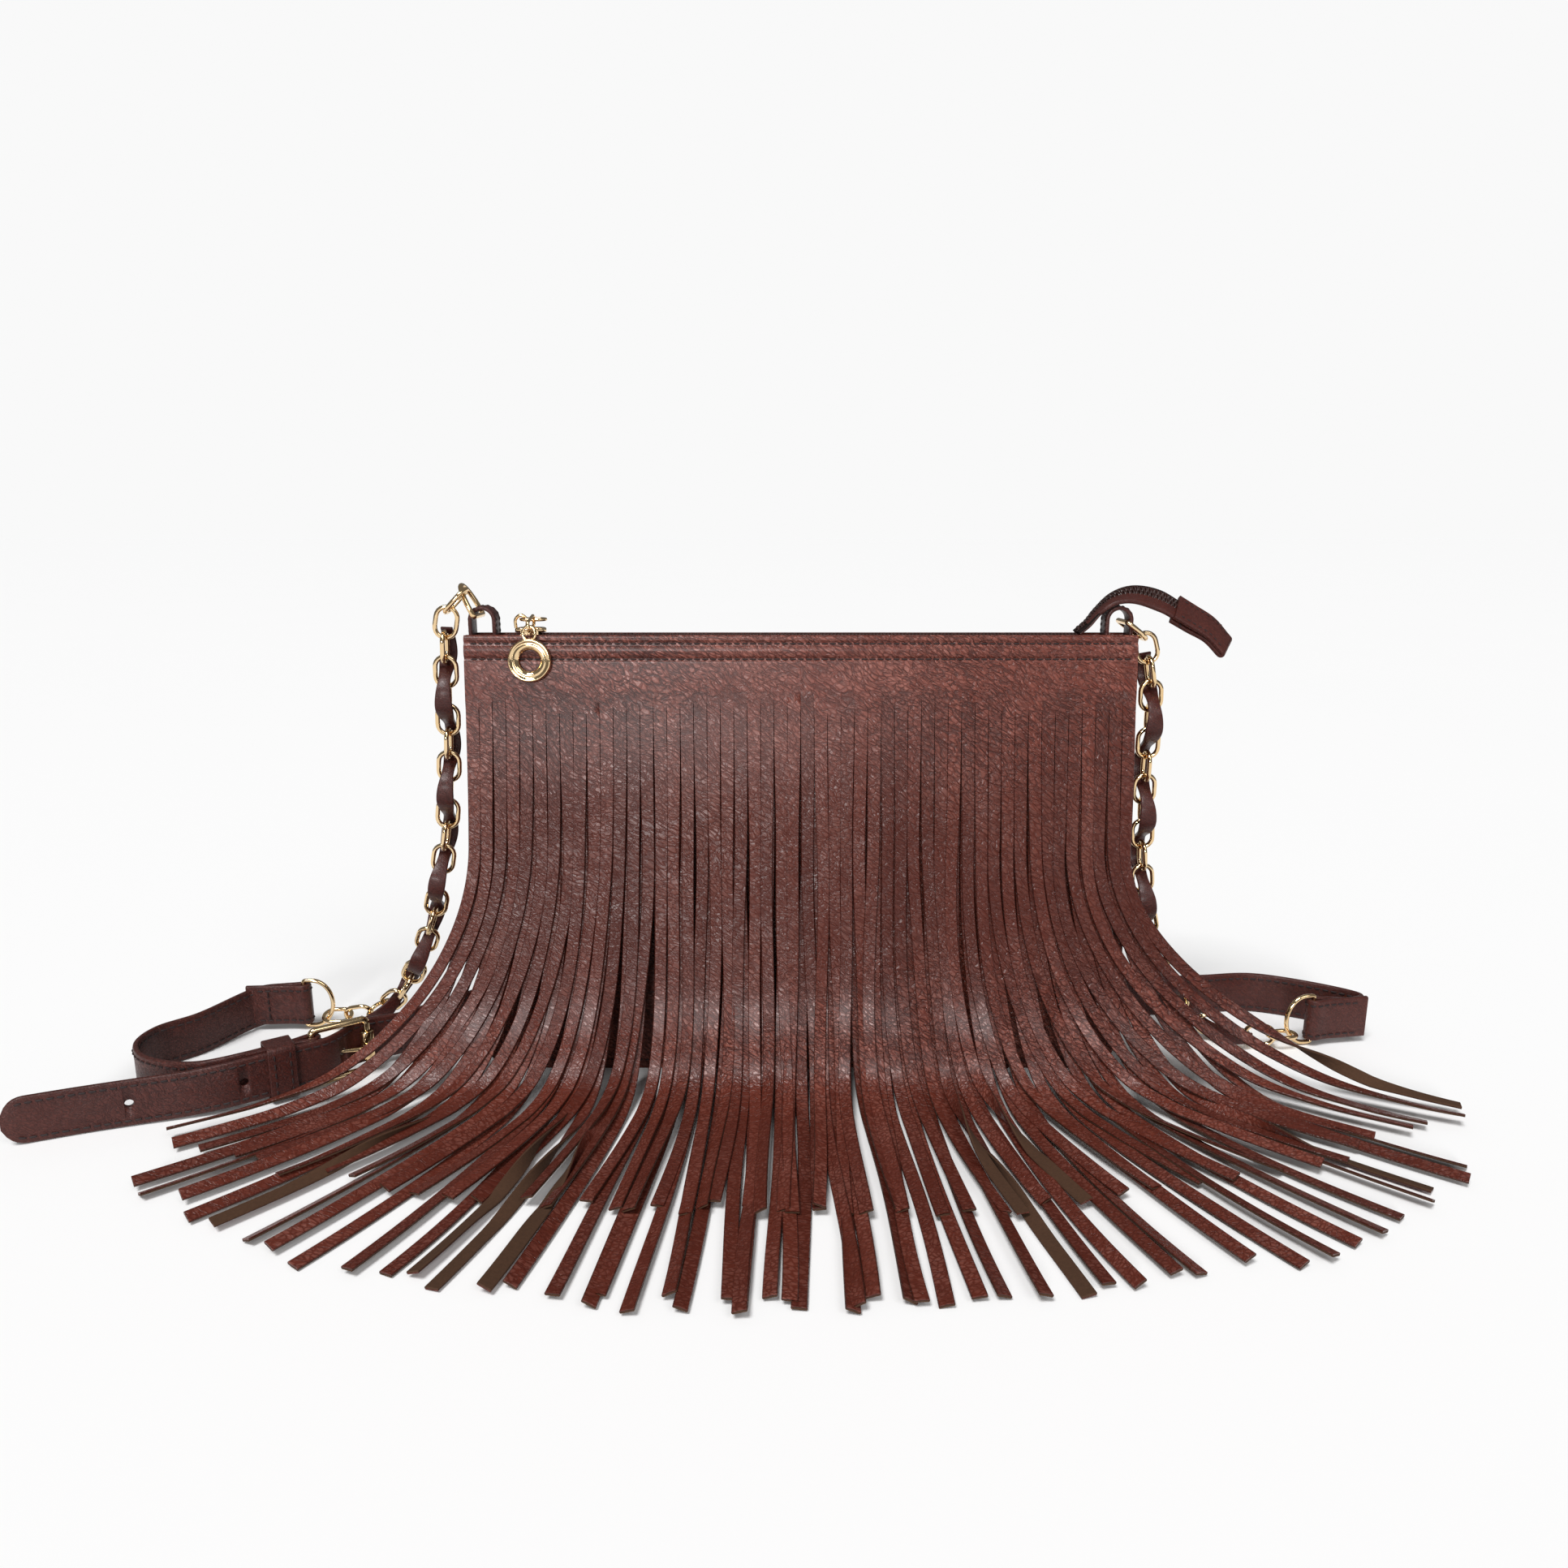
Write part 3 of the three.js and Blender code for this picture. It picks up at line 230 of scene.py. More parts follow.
BODY_STITCH = Stitch(3.0, 2.3, 0.28)
TOP_STITCH = Stitch(3.3, 2.7, 0.36)
TAB_STITCH = Stitch(2.4, 1.8, 0.24)
TAIL_STITCH = Stitch(2.6, 1.9, 0.26)
STRAP_STITCH = Stitch(3.6, 3.0, 0.42)
SEAM_STITCH = Stitch(3.4, 2.8, 0.4)

# One stitch is a bead of five rings: place along it, height and thickness, as shares
BEAD_PLACES = vec(-1.0, -0.72, 0.0, 0.72, 1.0)
BEAD_HEIGHTS = vec(-0.9, 0.15, 0.5, 0.15, -0.9)
BEAD_WIDTHS = vec(0.35, 0.9, 1.0, 0.9, 0.35)


@dataclass
class Build:
    """Collects surfaces of one piece, and makes them one mesh object.

    Each point also has a flow value: (across mm, along mm, kind), which materials read.
    """

    points: list[np.ndarray] = field(default_factory=list)
    faces: list[list[int]] = field(default_factory=list)
    flows: list[np.ndarray] = field(default_factory=list)
    total: int = 0

    def surface(self, points: np.ndarray, faces: list | np.ndarray, flow: np.ndarray | None = None) -> None:
        """Adds points with faces that count from 0 within them.

        Args:
            points: Array of points in millimetres, any leading shape.
            faces: Corner numbers of each face.
            flow: Flow value of each point, or None for zero.
        """
        flat = points.reshape(-1, 3)
        self.points.append(flat)
        self.flows.append(np.zeros_like(flat) if flow is None else flow.reshape(-1, 3))
        self.faces.extend([[int(k) + self.total for k in face] for face in faces])
        self.total += len(flat)

    def sweep(
        self,
        path: np.ndarray,
        side: np.ndarray,
        normal: np.ndarray,
        profile: np.ndarray,
        closed: bool = False,
        kind: float = 0.0,
        flat_kind: bool = False,
    ) -> None:
        """Carries a closed profile along a path: point = path + u * side + v * normal.

        Args:
            path: Points of the path, (n, 3).
            side: Direction of u at each point, or one for all.
            normal: Direction of v at each point, or one for all.
            profile: Outline (k, 2), or one for each point (n, k, 2).
            closed: True for a path that closes to a ring.
            kind: Flow kind of the swept surface.
            flat_kind: Adds 1 to the flow kind where v is below zero.
        """
        count = len(path)
        shape = np.broadcast_to(profile, (count, *profile.shape[-2:]))
        side = np.broadcast_to(side, (count, 3))
        normal = np.broadcast_to(normal, (count, 3))
        points = path[:, None] + shape[..., :1] * side[:, None] + shape[..., 1:] * normal[:, None]
        along = np.broadcast_to(measure(path)[:, None], shape.shape[:2])
        back = (shape[..., 1] < 0).astype(float) if flat_kind else 0.0
        flow = np.stack([shape[..., 0], along, kind + back + 0 * along], axis=-1)
        corners = shape.shape[1]
        faces = grid_faces(count, corners, True, True) if closed else capped_faces(count, corners)
        self.surface(points, faces, flow)

    def tube(self, path: np.ndarray, radius: float, sides: int = 10, closed: bool = False) -> None:
        """Sweeps a round wire along a path, with a frame that is carried along without twist.

        Args:
            path: Points of the path.
            radius: Wire radius.
            sides: Corners round the wire.
            closed: True for a closed loop, which has to lie in one plane.
        """
        along = tangents(path, closed)
        if closed:
            normal = unit(np.cross(path[len(path) // 3] - path[0], path[2 * len(path) // 3] - path[0]))
            normal = np.broadcast_to(normal, path.shape)
        else:
            normal = carried_normals(along)
        side = np.cross(along, normal)
        self.sweep(path, side, normal, circle(radius, sides), closed)

    def capped(self, grid: np.ndarray) -> None:
        """Adds a solid from a grid (rows, columns, 3) whose rows are rings."""
        self.surface(grid, capped_faces(*grid.shape[:2]))

    def turned(
        self, profile: np.ndarray, centre: np.ndarray, axis: np.ndarray, start: np.ndarray, count: int
    ) -> None:
        """Turns a closed profile (radius, height) round an axis: a lathe shape.

        Args:
            profile: Closed outline, one point per row.
            centre: Point on the axis.
            axis: Unit direction of the axis.
            start: Unit direction of angle 0.
            count: Segments round.
        """
        turn = 2 * np.pi * np.arange(count) / count
        other = np.cross(axis, start)
        out = np.cos(turn)[:, None] * start + np.sin(turn)[:, None] * other
        points = centre + profile[None, :, :1] * out[:, None] + profile[None, :, 1:] * axis
        self.surface(points, grid_faces(count, len(profile), True, True))

    def stitches(self, path: np.ndarray, normal: np.ndarray, stitch: Stitch) -> None:
        """Lays a row of stitches: each is a flattened bead whose ends sink into the leather.

        Args:
            path: Line that the row follows, on the surface.
            normal: Surface normal at each point, or one for all.
            stitch: Kind of stitch.
        """
        run = measure(path)
        count = max(1, int(run[-1] / stitch.pitch))
        starts = (np.arange(count) + 0.5) * run[-1] / count
        line = columns_of(starts[:, None] + BEAD_PLACES * stitch.length / 2, run, path)
        out = unit(columns_of(starts, run, np.broadcast_to(normal, path.shape)))[:, None]
        side = np.cross(unit(line[:, -1] - line[:, 0])[:, None], out)
        rings = len(BEAD_PLACES)
        round_it = circle(1.0, rings)
        ring = round_it[:, :1] * side[:, :, None] + round_it[:, 1:] * out[:, :, None]
        rise = stitch.radius * BEAD_HEIGHTS[:, None] * out
        points = (line + rise)[:, :, None] + stitch.radius * BEAD_WIDTHS[:, None, None] * ring
        bead = capped_faces(rings, rings)
        self.surface(points, [[k + rings**2 * n for k in face] for n in range(count) for face in bead])

    def finish(self, name: str, smooth_angle: float = 40.0) -> bpy.types.Object:
        """Makes the mesh object, in metres at the origin, with faces that point outwards.

        Args:
            name: Name of the object.
            smooth_angle: Edges sharper than this many degrees stay sharp.

        Returns:
            The new object, linked to the scene.
        """
        mesh = bpy.data.meshes.new(name)
        mesh.from_pydata((np.vstack(self.points) * MM).tolist(), [], self.faces)
        mesh.update()
        flow = mesh.attributes.new("flow", "FLOAT_VECTOR", "POINT")
        flow.data.foreach_set("vector", np.vstack(self.flows).ravel())
        tidy_normals(mesh)
        mesh.set_sharp_from_angle(angle=math.radians(smooth_angle))
        piece = bpy.data.objects.new(name, mesh)
        bpy.context.scene.collection.objects.link(piece)
        return piece


def tidy_normals(mesh: bpy.types.Mesh) -> None:
    """Turns every closed surface of a mesh outwards and shades it smooth."""
    work = bmesh.new()
    work.from_mesh(mesh)
    bmesh.ops.recalc_face_normals(work, faces=work.faces)
    work.to_mesh(mesh)
    work.free()
    mesh.polygons.foreach_set("use_smooth", np.ones(len(mesh.polygons), dtype=bool))
    mesh.update()


def carried_normals(along: np.ndarray) -> np.ndarray:
    """Carries a normal along a path: each one is the last, less its part along the new direction."""
    start = np.cross(along[0], UP)
    if np.linalg.norm(start) < 0.1:
        start = np.cross(along[0], vec(0, 1, 0))
    rows = [unit(start)]
    for direction in along[1:]:
        rows.append(square_to(rows[-1], direction))
    return np.array(rows)


def dress(
    piece: bpy.types.Object,
    material: bpy.types.Material,
    ride: Ride,
    nodes: tuple[str, ...] = (),
) -> bpy.types.Object:
    """Gives a piece its material, body and the nodes that it stands for.

    Args:
        piece: The finished object.
        material: Its material.
        ride: The body that it moves with.
        nodes: CAD nodes that it replaces.

    Returns:
        The same object.
    """
    piece.data.materials.clear()
    piece.data.materials.append(material)
    if nodes:
        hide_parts(*nodes)
    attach(piece, ride.value)
    log.info("%s: %d faces, rides on %s", piece.name, len(piece.data.polygons), ride.value)
    return piece


def add_piece(
    name: str,
    maker: Callable[[Build], None],
    material: bpy.types.Material,
    ride: Ride = Ride.BAG,
    nodes: tuple[str, ...] = (),
    smooth_angle: float = 40.0,
) -> bpy.types.Object:
    """Makes one piece from a collector that the maker fills, and dresses it.

    Args:
        name: Name of the object.
        maker: Fills the collector.
        material: The piece's material.
        ride: The body that it moves with.
        nodes: CAD nodes that it replaces.
        smooth_angle: Edges sharper than this many degrees stay sharp.

    Returns:
        The dressed object.
    """
    build = Build()
    maker(build)
    return dress(build.finish(name, smooth_angle), material, ride, nodes)


def carved(piece: bpy.types.Object, cutter: bpy.types.Object) -> bpy.types.Object:
    """Cuts one closed object out of another and deletes the cutter.

    Args:
        piece: Object that is cut.
        cutter: Closed object that is taken away.

    Returns:
        The cut object, with its flow attribute kept.
    """
    change = piece.modifiers.new("holes", "BOOLEAN")
    change.operation = "DIFFERENCE"
    change.solver = "EXACT"
    change.object = cutter
    bpy.context.view_layer.update()
    shape = bpy.data.meshes.new_from_object(piece.evaluated_get(bpy.context.evaluated_depsgraph_get()))
    piece.modifiers.clear()
    piece.data = shape
    bpy.data.objects.remove(cutter)
    return piece


# Materials: a socket that does sums, and a maker of any other node


@dataclass
class Wire:
    """A socket that takes part in Python expressions and adds the Math nodes they need."""

    paint: "Paint"
    socket: bpy.types.NodeSocket

    def math(self, operation: str, *others: Any) -> "Wire":
        """Returns the result of a Math node on this value and others."""
        inputs = dict(enumerate((self, *others)))
        return self.paint.node("ShaderNodeMath", {"operation": operation}, inputs)

    def __add__(self, other: Any) -> "Wire":
        """Returns the sum."""
        return self.math("ADD", other)

    def __sub__(self, other: Any) -> "Wire":
        """Returns the difference."""
        return self.math("SUBTRACT", other)

    def __mul__(self, other: Any) -> "Wire":
        """Returns the product."""
        return self.math("MULTIPLY", other)

    def rest(self) -> "Wire":
        """Returns 1 less this value."""
        return self * -1.0 + 1.0

    def step(self, low: float, high: float) -> "Wire":
        """Returns a smooth step from 0 at low to 1 at high."""
        inputs = {"Value": self, "From Min": low, "From Max": high}
        return self.paint.node("ShaderNodeMapRange", {"interpolation_type": "SMOOTHSTEP"}, inputs)


@dataclass
class Paint:
    """One material that is being made: its node tree and a few common nodes."""

    name: str

    def __post_init__(self) -> None:
        """Starts the material with an empty tree and one Principled shader."""
        self.material = bpy.data.materials.new(self.name)
        self.material.use_nodes = True
        self.tree = self.material.node_tree
        self.shader = next(n for n in self.tree.nodes if n.type == "BSDF_PRINCIPLED")

    def node(
        self, kind: str, settings: dict[str, Any], inputs: dict[Any, Any], output: int | str = 0
    ) -> Wire:
        """Adds a node.

        Args:
            kind: Node type.
            settings: Properties, set first.
            inputs: Values or wires by socket name or number.
            output: Which output to return.

        Returns:
            The output as a wire.
        """
        made = self.tree.nodes.new(kind)
        for key, value in settings.items():
            setattr(made, key, value)
        for key, value in inputs.items():
            self.feed(made.inputs[key], value)
        return Wire(self, made.outputs[output])

    def feed(self, socket: bpy.types.NodeSocket, value: Any) -> None:
        """Links a wire to a socket, or sets its value."""
        if isinstance(value, Wire):
            self.tree.links.new(value.socket, socket)
        else:
            socket.default_value = value

    def place(self) -> Wire:
        """Returns the object coordinates."""
        return self.node("ShaderNodeTexCoord", {}, {}, "Object")

    def flow(self) -> tuple[Wire, Wire, Wire]:
        """Returns the flow attribute's across, along and kind."""
        return self.split(self.node("ShaderNodeAttribute", {"attribute_name": "flow"}, {}, "Vector"))

    def split(self, where: Wire) -> tuple[Wire, Wire, Wire]:
        """Returns the three parts of a vector."""
        made = self.tree.nodes.new("ShaderNodeSeparateXYZ")
        self.feed(made.inputs[0], where)
        return tuple(Wire(self, output) for output in made.outputs)

    def noise(
        self, where: Wire, scale: float, detail: float = 4, rough: float = 0.5, twist: float = 0
    ) -> Wire:
        """Returns a noise value from 0 to 1."""
        inputs = {"Vector": where, "Scale": scale, "Detail": detail, "Roughness": rough, "Distortion": twist}
        return self.node("ShaderNodeTexNoise", {}, inputs)

    def cells(self, where: Wire, scale: float) -> Wire:
        """Returns the distance to the nearest wall of Voronoi cells."""
        inputs = {"Vector": where, "Scale": scale}
        return self.node("ShaderNodeTexVoronoi", {"feature": "DISTANCE_TO_EDGE"}, inputs, "Distance")

    def bend(self, where: Wire, scale: float, amount: float) -> Wire:
        """Returns coordinates pushed about by coloured noise."""
        push = self.node("ShaderNodeTexNoise", {}, {"Vector": where, "Scale": scale, "Detail": 3}, 1)
        small = self.node("ShaderNodeVectorMath", {"operation": "SCALE"}, {0: push, "Scale": amount})
        return self.node("ShaderNodeVectorMath", {"operation": "ADD"}, {0: where, 1: small})

    def stretch(self, where: Wire, factors: tuple[float, float, float]) -> Wire:
        """Returns coordinates multiplied axis by axis."""
        return self.node("ShaderNodeVectorMath", {"operation": "MULTIPLY"}, {0: where, 1: factors})

    def mix(self, share: Any, first: Any, second: Any) -> Wire:
        """Returns a colour between two, each a colour or a wire."""
        made = self.tree.nodes.new("ShaderNodeMix")
        made.data_type = "RGBA"
        sockets = [s for s in made.inputs if s.type == "RGBA"]
        self.feed(made.inputs[0], share)
        for socket, value in zip(sockets, (first, second)):
            self.feed(socket, value if isinstance(value, Wire) else (*value, 1.0))
        return Wire(self, next(s for s in made.outputs if s.type == "RGBA"))

    def bump(self, height: Wire, distance: float) -> None:
        """Drives the shader's normal with a height in units of distance."""
        inputs = {"Height": height, "Distance": distance, "Strength": 1.0}
        self.feed(self.shader.inputs["Normal"], self.node("ShaderNodeBump", {}, inputs))

    def set(self, **values: Any) -> None:
        """Sets or links the shader's sockets; underscores stand for spaces."""
        for key, value in values.items():
            self.feed(self.shader.inputs[key.replace("_", " ")], value)


Colour = tuple[float, float, float]


def half_tone(colour: Colour) -> Colour:
    """Returns a colour at half its brightness."""
    return tuple(0.5 * part for part in colour)


@dataclass(frozen=True)
class LeatherFinish:
    """Pebbled leather, with a suede reverse where the flow kind of a surface is 1 or more.

    The part of the kind above 0 or 1, up to tone_top, is the tone of a strip. Where edge is
    set, the look also changes with the height over the floor: the head is pebbled and shines,
    the hanging strips are calm and painted darker as shade, the bend over the floor shines again,
    and a strip's rims are painted dark from edge millimetres off its middle line, as shade between
    strips. The grain's creases are painted dark as shade, and the lighter wear colour also paints
    highlights on the pebble tops.
    """

    name: str
    base: Colour = (0.128, 0.027, 0.016)
    # Dark colour of the painted shade in the creases, on the hanging strips and at strip rims; also the dark end
    # of the strip tones.
    valley: Colour = (0.020, 0.003, 0.002)
    # Lighter colour of the mottled wear; it also paints highlights on the pebble tops.
    wear_and_highlight: Colour = (0.235, 0.078, 0.057)
    suede: Colour = (0.085, 0.041, 0.022)
    cell: float = 560.0
    depth: float = 0.00042
    gloss: float = 0.30
    wrinkle: float = 0.9
    coat: float = 0.32
    edge: float = 0.0
    slant: float = -0.62
    tone_top: float = 0.28
    mirror: float = 0.24

    def grain(self, paint: Paint, place: Wire) -> tuple[Wire, Wire]:
        """Adds the grain's two patterns: 0 in a valley, 1 on the leather's face.

        Args:
            paint: The material.
            place: Object coordinates.

        Returns:
            The round cells, and the long wrinkles that slant across them.
        """
        turn = {"Vector": paint.bend(place, 22.0, 0.016), "Axis": (0.0, 1.0, 0.0), "Angle": self.slant}
        slant = paint.node("ShaderNodeVectorRotate", {"rotation_type": "AXIS_ANGLE"}, turn)
        bent = paint.bend(paint.stretch(slant, (0.55, 1.0, 1.1)), 300.0, 0.0016)
        pebble = paint.cells(bent, self.cell).step(0.0, 0.24)
        long = paint.stretch(slant, (0.3, 1.0, 1.0))
        ridge = (paint.noise(long, self.cell * 0.75, 2, 0.5, 0.8) - 0.5).math("ABSOLUTE")
        return pebble, ridge.step(0.0, 0.085)

    def make(self) -> bpy.types.Material:
        """Builds the material: grain with painted shade in its creases and painted highlights on the
        pebble tops, mottled wear, strip tones, painted shade on the hanging strips and their rims,
        and the suede reverse.

        Returns:
            The material.
        """
        paint = Paint(self.name)
        place = paint.place()
        across, along, kind = paint.flow()
        pebble, wrinkle = self.grain(paint, place)
        fine = paint.noise(place, 1500.0, 3)
        swell = paint.noise(place, 60.0, 2)
        mottle = paint.noise(place, 32.0, 4, 0.6)
        patch = paint.noise(place, 9.0, 2)
        grain_depth = patch.step(0.35, 0.65) * 0.4 + 0.6
        shine = 1.0
        if self.edge:
            level = paint.split(place)[2]
            bend = (level.step(0.028, 0.070) * -0.75 + 0.75) * level.step(0.004, 0.018)
            calm = (level.step(0.105, 0.165) + bend).rest()
            grain_depth = grain_depth * (calm * -0.65 + 1.0)
            shine = calm.rest()
        reverse = kind.step(0.35, 0.65)
        skin_only = reverse.rest()
        grain = (pebble * 0.5 + wrinkle * self.wrinkle) * grain_depth
        height = grain + fine * 0.06 + swell * 2.4
        # Mottled wear, with the pebble tops added in as a painted highlight: mixes the base towards the lighter
        # colour.
        wear_and_highlight = (mottle * 0.6 + patch * 0.2 + pebble * 0.22 + fine * 0.1).step(0.50, 0.82)
        crease = (pebble.rest() * 0.22 + wrinkle.rest() * 0.62) * grain_depth
        skin = paint.mix(wear_and_highlight, self.base, self.wear_and_highlight)
        # Painted shade: the grain's creases are darkened towards the valley colour.
        skin = paint.mix(crease.math("MINIMUM", 0.95), skin, self.valley)
        skin = paint.mix((kind - reverse) * (0.35 / self.tone_top), skin, self.valley)
        if self.edge:
            # Painted shade: the calm strips are darkened, most where they hang above the floor, less where they
            # lie on it.
            skin = paint.mix(calm * (level.step(0.01, 0.05) * 0.30 + 0.14), skin, self.valley)
            # Painted shade between strips: each strip's rims are darkened towards the valley colour.
            rim = across.math("ABSOLUTE").step(self.edge - 0.7, self.edge) * along.step(12.0, 90.0)
            skin = paint.mix(rim * 0.7, skin, self.valley)
        nap = paint.mix(paint.noise(place, 900.0, 4, 0.7), half_tone(self.suede), self.suede)
        gloss = fine * 0.10 + crease * 0.2 + mottle * 0.12 + (self.gloss - 0.14)
        paint.set(
            Base_Color=paint.mix(reverse, skin, nap),
            Roughness=gloss * skin_only + reverse * 0.95,
            Specular_IOR_Level=self.mirror,
            Coat_Weight=skin_only * self.coat * shine,
            Coat_Roughness=0.30,
        )
        paint.bump(height * (reverse * -0.85 + 1.0), self.depth)
        return paint.material


@dataclass(frozen=True)
class ClothFinish:
    """Plain woven cloth, used on the zip tape and the lining."""

    name: str
    base: Colour
    weave: float = 1500.0

    def make(self) -> bpy.types.Material:
        """Builds the material: two crossing sets of yarns with a little sheen.

        Returns:
            The material.
        """
        paint = Paint(self.name)
        place = paint.place()
        x, y, z = paint.split(place)
        density = self.weave * math.pi
        yarns = (x * density).math("SINE") * ((y + z) * density).math("SINE")
        fuzz = paint.noise(place, 2500.0, 3)
        tone = paint.noise(place, 60.0, 3)
        colour = paint.mix(yarns * 0.25 + tone * 0.5, half_tone(self.base), self.base)
        paint.set(Base_Color=colour, Roughness=tone * 0.1 + 0.82, Specular_IOR_Level=0.15)
        paint.bump(yarns * 0.5 + fuzz * 0.4, 0.00012)
        return paint.material


@dataclass(frozen=True)
class ShineFinish:
    """A hard smooth finish: plated metal, zip polymer or waxed thread."""

    name: str
    base: Colour
    second: Colour
    metal: float = 0.0
    rough: float = 0.2
    grain: float = 300.0
    depth: float = 0.00001

    def make(self) -> bpy.types.Material:
        """Builds the material: slight colour drift, smudges in the gloss and a faint ripple.

        Returns:
            The material.
        """
        paint = Paint(self.name)
        place = paint.place()
        drift = paint.noise(place, self.grain * 0.3, 3)
        smudge = paint.noise(place, self.grain, 4, 0.6)
        paint.set(Base_Color=paint.mix(drift.step(0.35, 0.7), self.base, self.second))
        paint.set(Roughness=smudge * 0.12 + (self.rough - 0.05), Metallic=self.metal)
        paint.bump(smudge, self.depth)
        return paint.material


@dataclass
class Finishes:
    """All finishes of the object, made once."""

    def __post_init__(self) -> None:
        """Makes the materials."""
        # Each leather paints shade into its creases with its valley colour, and its lighter wear colour also
        # paints highlights on the pebble tops.
        self.panel = LeatherFinish("pebbled_leather", coat=0.06).make()
        self.fringe = LeatherFinish("fringe_leather", edge=2.7).make()
        self.strap = LeatherFinish(
            "strap_leather",
            base=(0.062, 0.014, 0.010),
            valley=(0.024, 0.005, 0.004),
            wear_and_highlight=(0.088, 0.023, 0.017),
            cell=1000.0,
            depth=0.00013,
            gloss=0.42,
            coat=0.15,
        ).make()
        self.lace = LeatherFinish(
            "lace_leather",
            base=(0.055, 0.011, 0.008),
            valley=(0.022, 0.004, 0.003),
            wear_and_highlight=(0.082, 0.019, 0.014),
            cell=1200.0,
            depth=0.00008,
            gloss=0.36,
            coat=0.2,
        ).make()
        self.tape = ClothFinish("zip_cloth", (0.018, 0.010, 0.009)).make()
        self.lining = ClothFinish("lining_cloth", (0.050, 0.032, 0.024), 1100.0).make()
        self.coil = ShineFinish("zip_coil", (0.024, 0.008, 0.006), (0.040, 0.014, 0.011), rough=0.4).make()
        self.thread = ShineFinish(
            "stitch_thread", (0.011, 0.003, 0.003), (0.018, 0.005, 0.005), rough=0.7
        ).make()
        self.gold = ShineFinish(
            "gold_plate",
            (0.86, 0.64, 0.38),
            (0.82, 0.58, 0.31),
            metal=1.0,
            rough=0.09,
            grain=120.0,
            depth=0.000002,
        ).make()


@dataclass
class BagBody:
    """Leather panels, gusset and lining, in millimetres."""

    width: float = 280.0
    height: float = 190.0
    base_half: float = 18.0
    top_half: float = 7.0
    bulge: float = 3.0
    thickness: float = 2.0
    gusset_drop: float = 8.0
    gusset_thickness: float = 1.8
    lining_thickness: float = 0.8
    lining_drop: float = 12.0
    corner: float = 14.0
    gap: float = 0.3
    edge_roll: float = 0.5
    seam_inset: float = 4.0
    seam_drop: float = 3.0
    lining_taper: float = 0.54
    lining_power: float = 0.25

    def half_depth(self, z: np.ndarray | float) -> Any:
        """Returns half the bag's depth at a height: a straight taper and a sine bulge."""
        share = np.asarray(z, dtype=float) / self.height
        taper = (self.top_half - self.base_half) * share
        return self.base_half + taper + self.bulge * np.sin(np.pi * share)

    def panel(self, build: Build, side: float) -> None:
        """Adds a panel: a sheet on y = side * half depth, whose lower corners are round.

        Args:
            build: Collector.
            side: -1 for the front, 1 for the back.
        """
        z = np.linspace(0, 1, 61) * self.height
        above = np.maximum(self.corner - z, 0)
        round_in = self.corner - np.sqrt(np.maximum(self.corner**2 - above**2, 0))
        u = np.linspace(-1, 1, 121)
        x = (self.width / 2 - round_in)[:, None] * u
        half = self.half_depth(z)[:, None]
        front = side * (half - self.edge_roll * ease(np.abs(u), 0.992, 1.0))
        back = side * (half - self.thickness)
        skins = [np.stack(np.broadcast_arrays(x, y, z[:, None]), axis=-1) for y in (front, back)]
        rows, columns = x.shape
        count = rows * columns
        faces = grid_faces(rows, columns, False, False)
        rim = np.concatenate([
            np.arange(columns),
            np.arange(1, rows) * columns + columns - 1,
            (rows - 1) * columns + np.arange(columns - 2, -1, -1),
            np.arange(rows - 2, 0, -1) * columns,
        ])
        after = np.roll(rim, -1)
        walls = np.stack([rim, after, after + count, rim + count], axis=1)
        build.surface(np.stack(skins), np.vstack([faces, faces[:, ::-1] + count, walls]))

    def outline(self, inset: float, top: float) -> np.ndarray:
        """Returns the U of the bag's sides and base, (x, z), from the top left down and up."""
        half = self.width / 2 - inset
        radius = self.corner - inset
        turn = np.linspace(0, np.pi / 2, 10)
        centre = vec(-half + radius, inset + radius)
        left = centre - radius * np.stack([np.cos(turn), np.sin(turn)], axis=1)
        right = left[::-1] * vec(-1, 1)
        wall = np.linspace(top, inset + radius, 24)[:-1]
        up = np.stack([np.full_like(wall, -half), wall], axis=1)
        floor = np.linspace(left[-1, 0], right[0, 0], 40)[1:-1]
        base = np.stack([floor, np.full_like(floor, inset)], axis=1)
        return np.vstack([up, left, base, right, up[::-1] * vec(-1, 1)])

    def gusset(self, build: Build) -> None:
        """Adds the gusset and base: a strip between the panels with a soft fold in its middle."""
        top = self.height - self.gusset_drop
        outer, inner = self.outline(0.0, top), self.outline(self.gusset_thickness, top)
        u = np.linspace(-1, 1, 13)
        half = self.half_depth(outer[:, 1:]) - self.thickness - self.gap
        fold = np.sign(outer[:, :1]) * ease(outer[:, 1:], 12, 60) * (1 - np.abs(u)) ** 1.3
        skins = [
            np.stack(np.broadcast_arrays(line[:, :1] - fold, half * u, line[:, 1:]), axis=-1)
            for line in (outer, inner)
        ]
        build.capped(np.concatenate([skins[0], skins[1][:, ::-1]], axis=1))

    def lining(self, build: Build) -> None:
        """Adds the lining: an open pouch just inside the panels, with its wall's thickness."""
        skin = self.gusset_thickness + self.gap
        turn = np.linspace(0, 2 * np.pi, 97)[:-1]
        wide, deep = (
            np.sign(wave) * np.abs(wave) ** self.lining_power for wave in (np.cos(turn), np.sin(turn))
        )
        layers = []
        for extra in (0.0, self.lining_thickness):
            z = np.linspace(skin + extra, self.height - self.lining_drop, 40)[:, None]
            half_x = self.width / 2 - skin - extra - self.lining_taper * np.maximum(self.corner - z, 0)
            half_y = self.half_depth(z) - self.thickness - self.gap - extra
            layers.append(np.stack(np.broadcast_arrays(half_x * wide, half_y * deep, z), axis=-1))
        build.capped(np.concatenate([layers[0], layers[1][::-1]]))

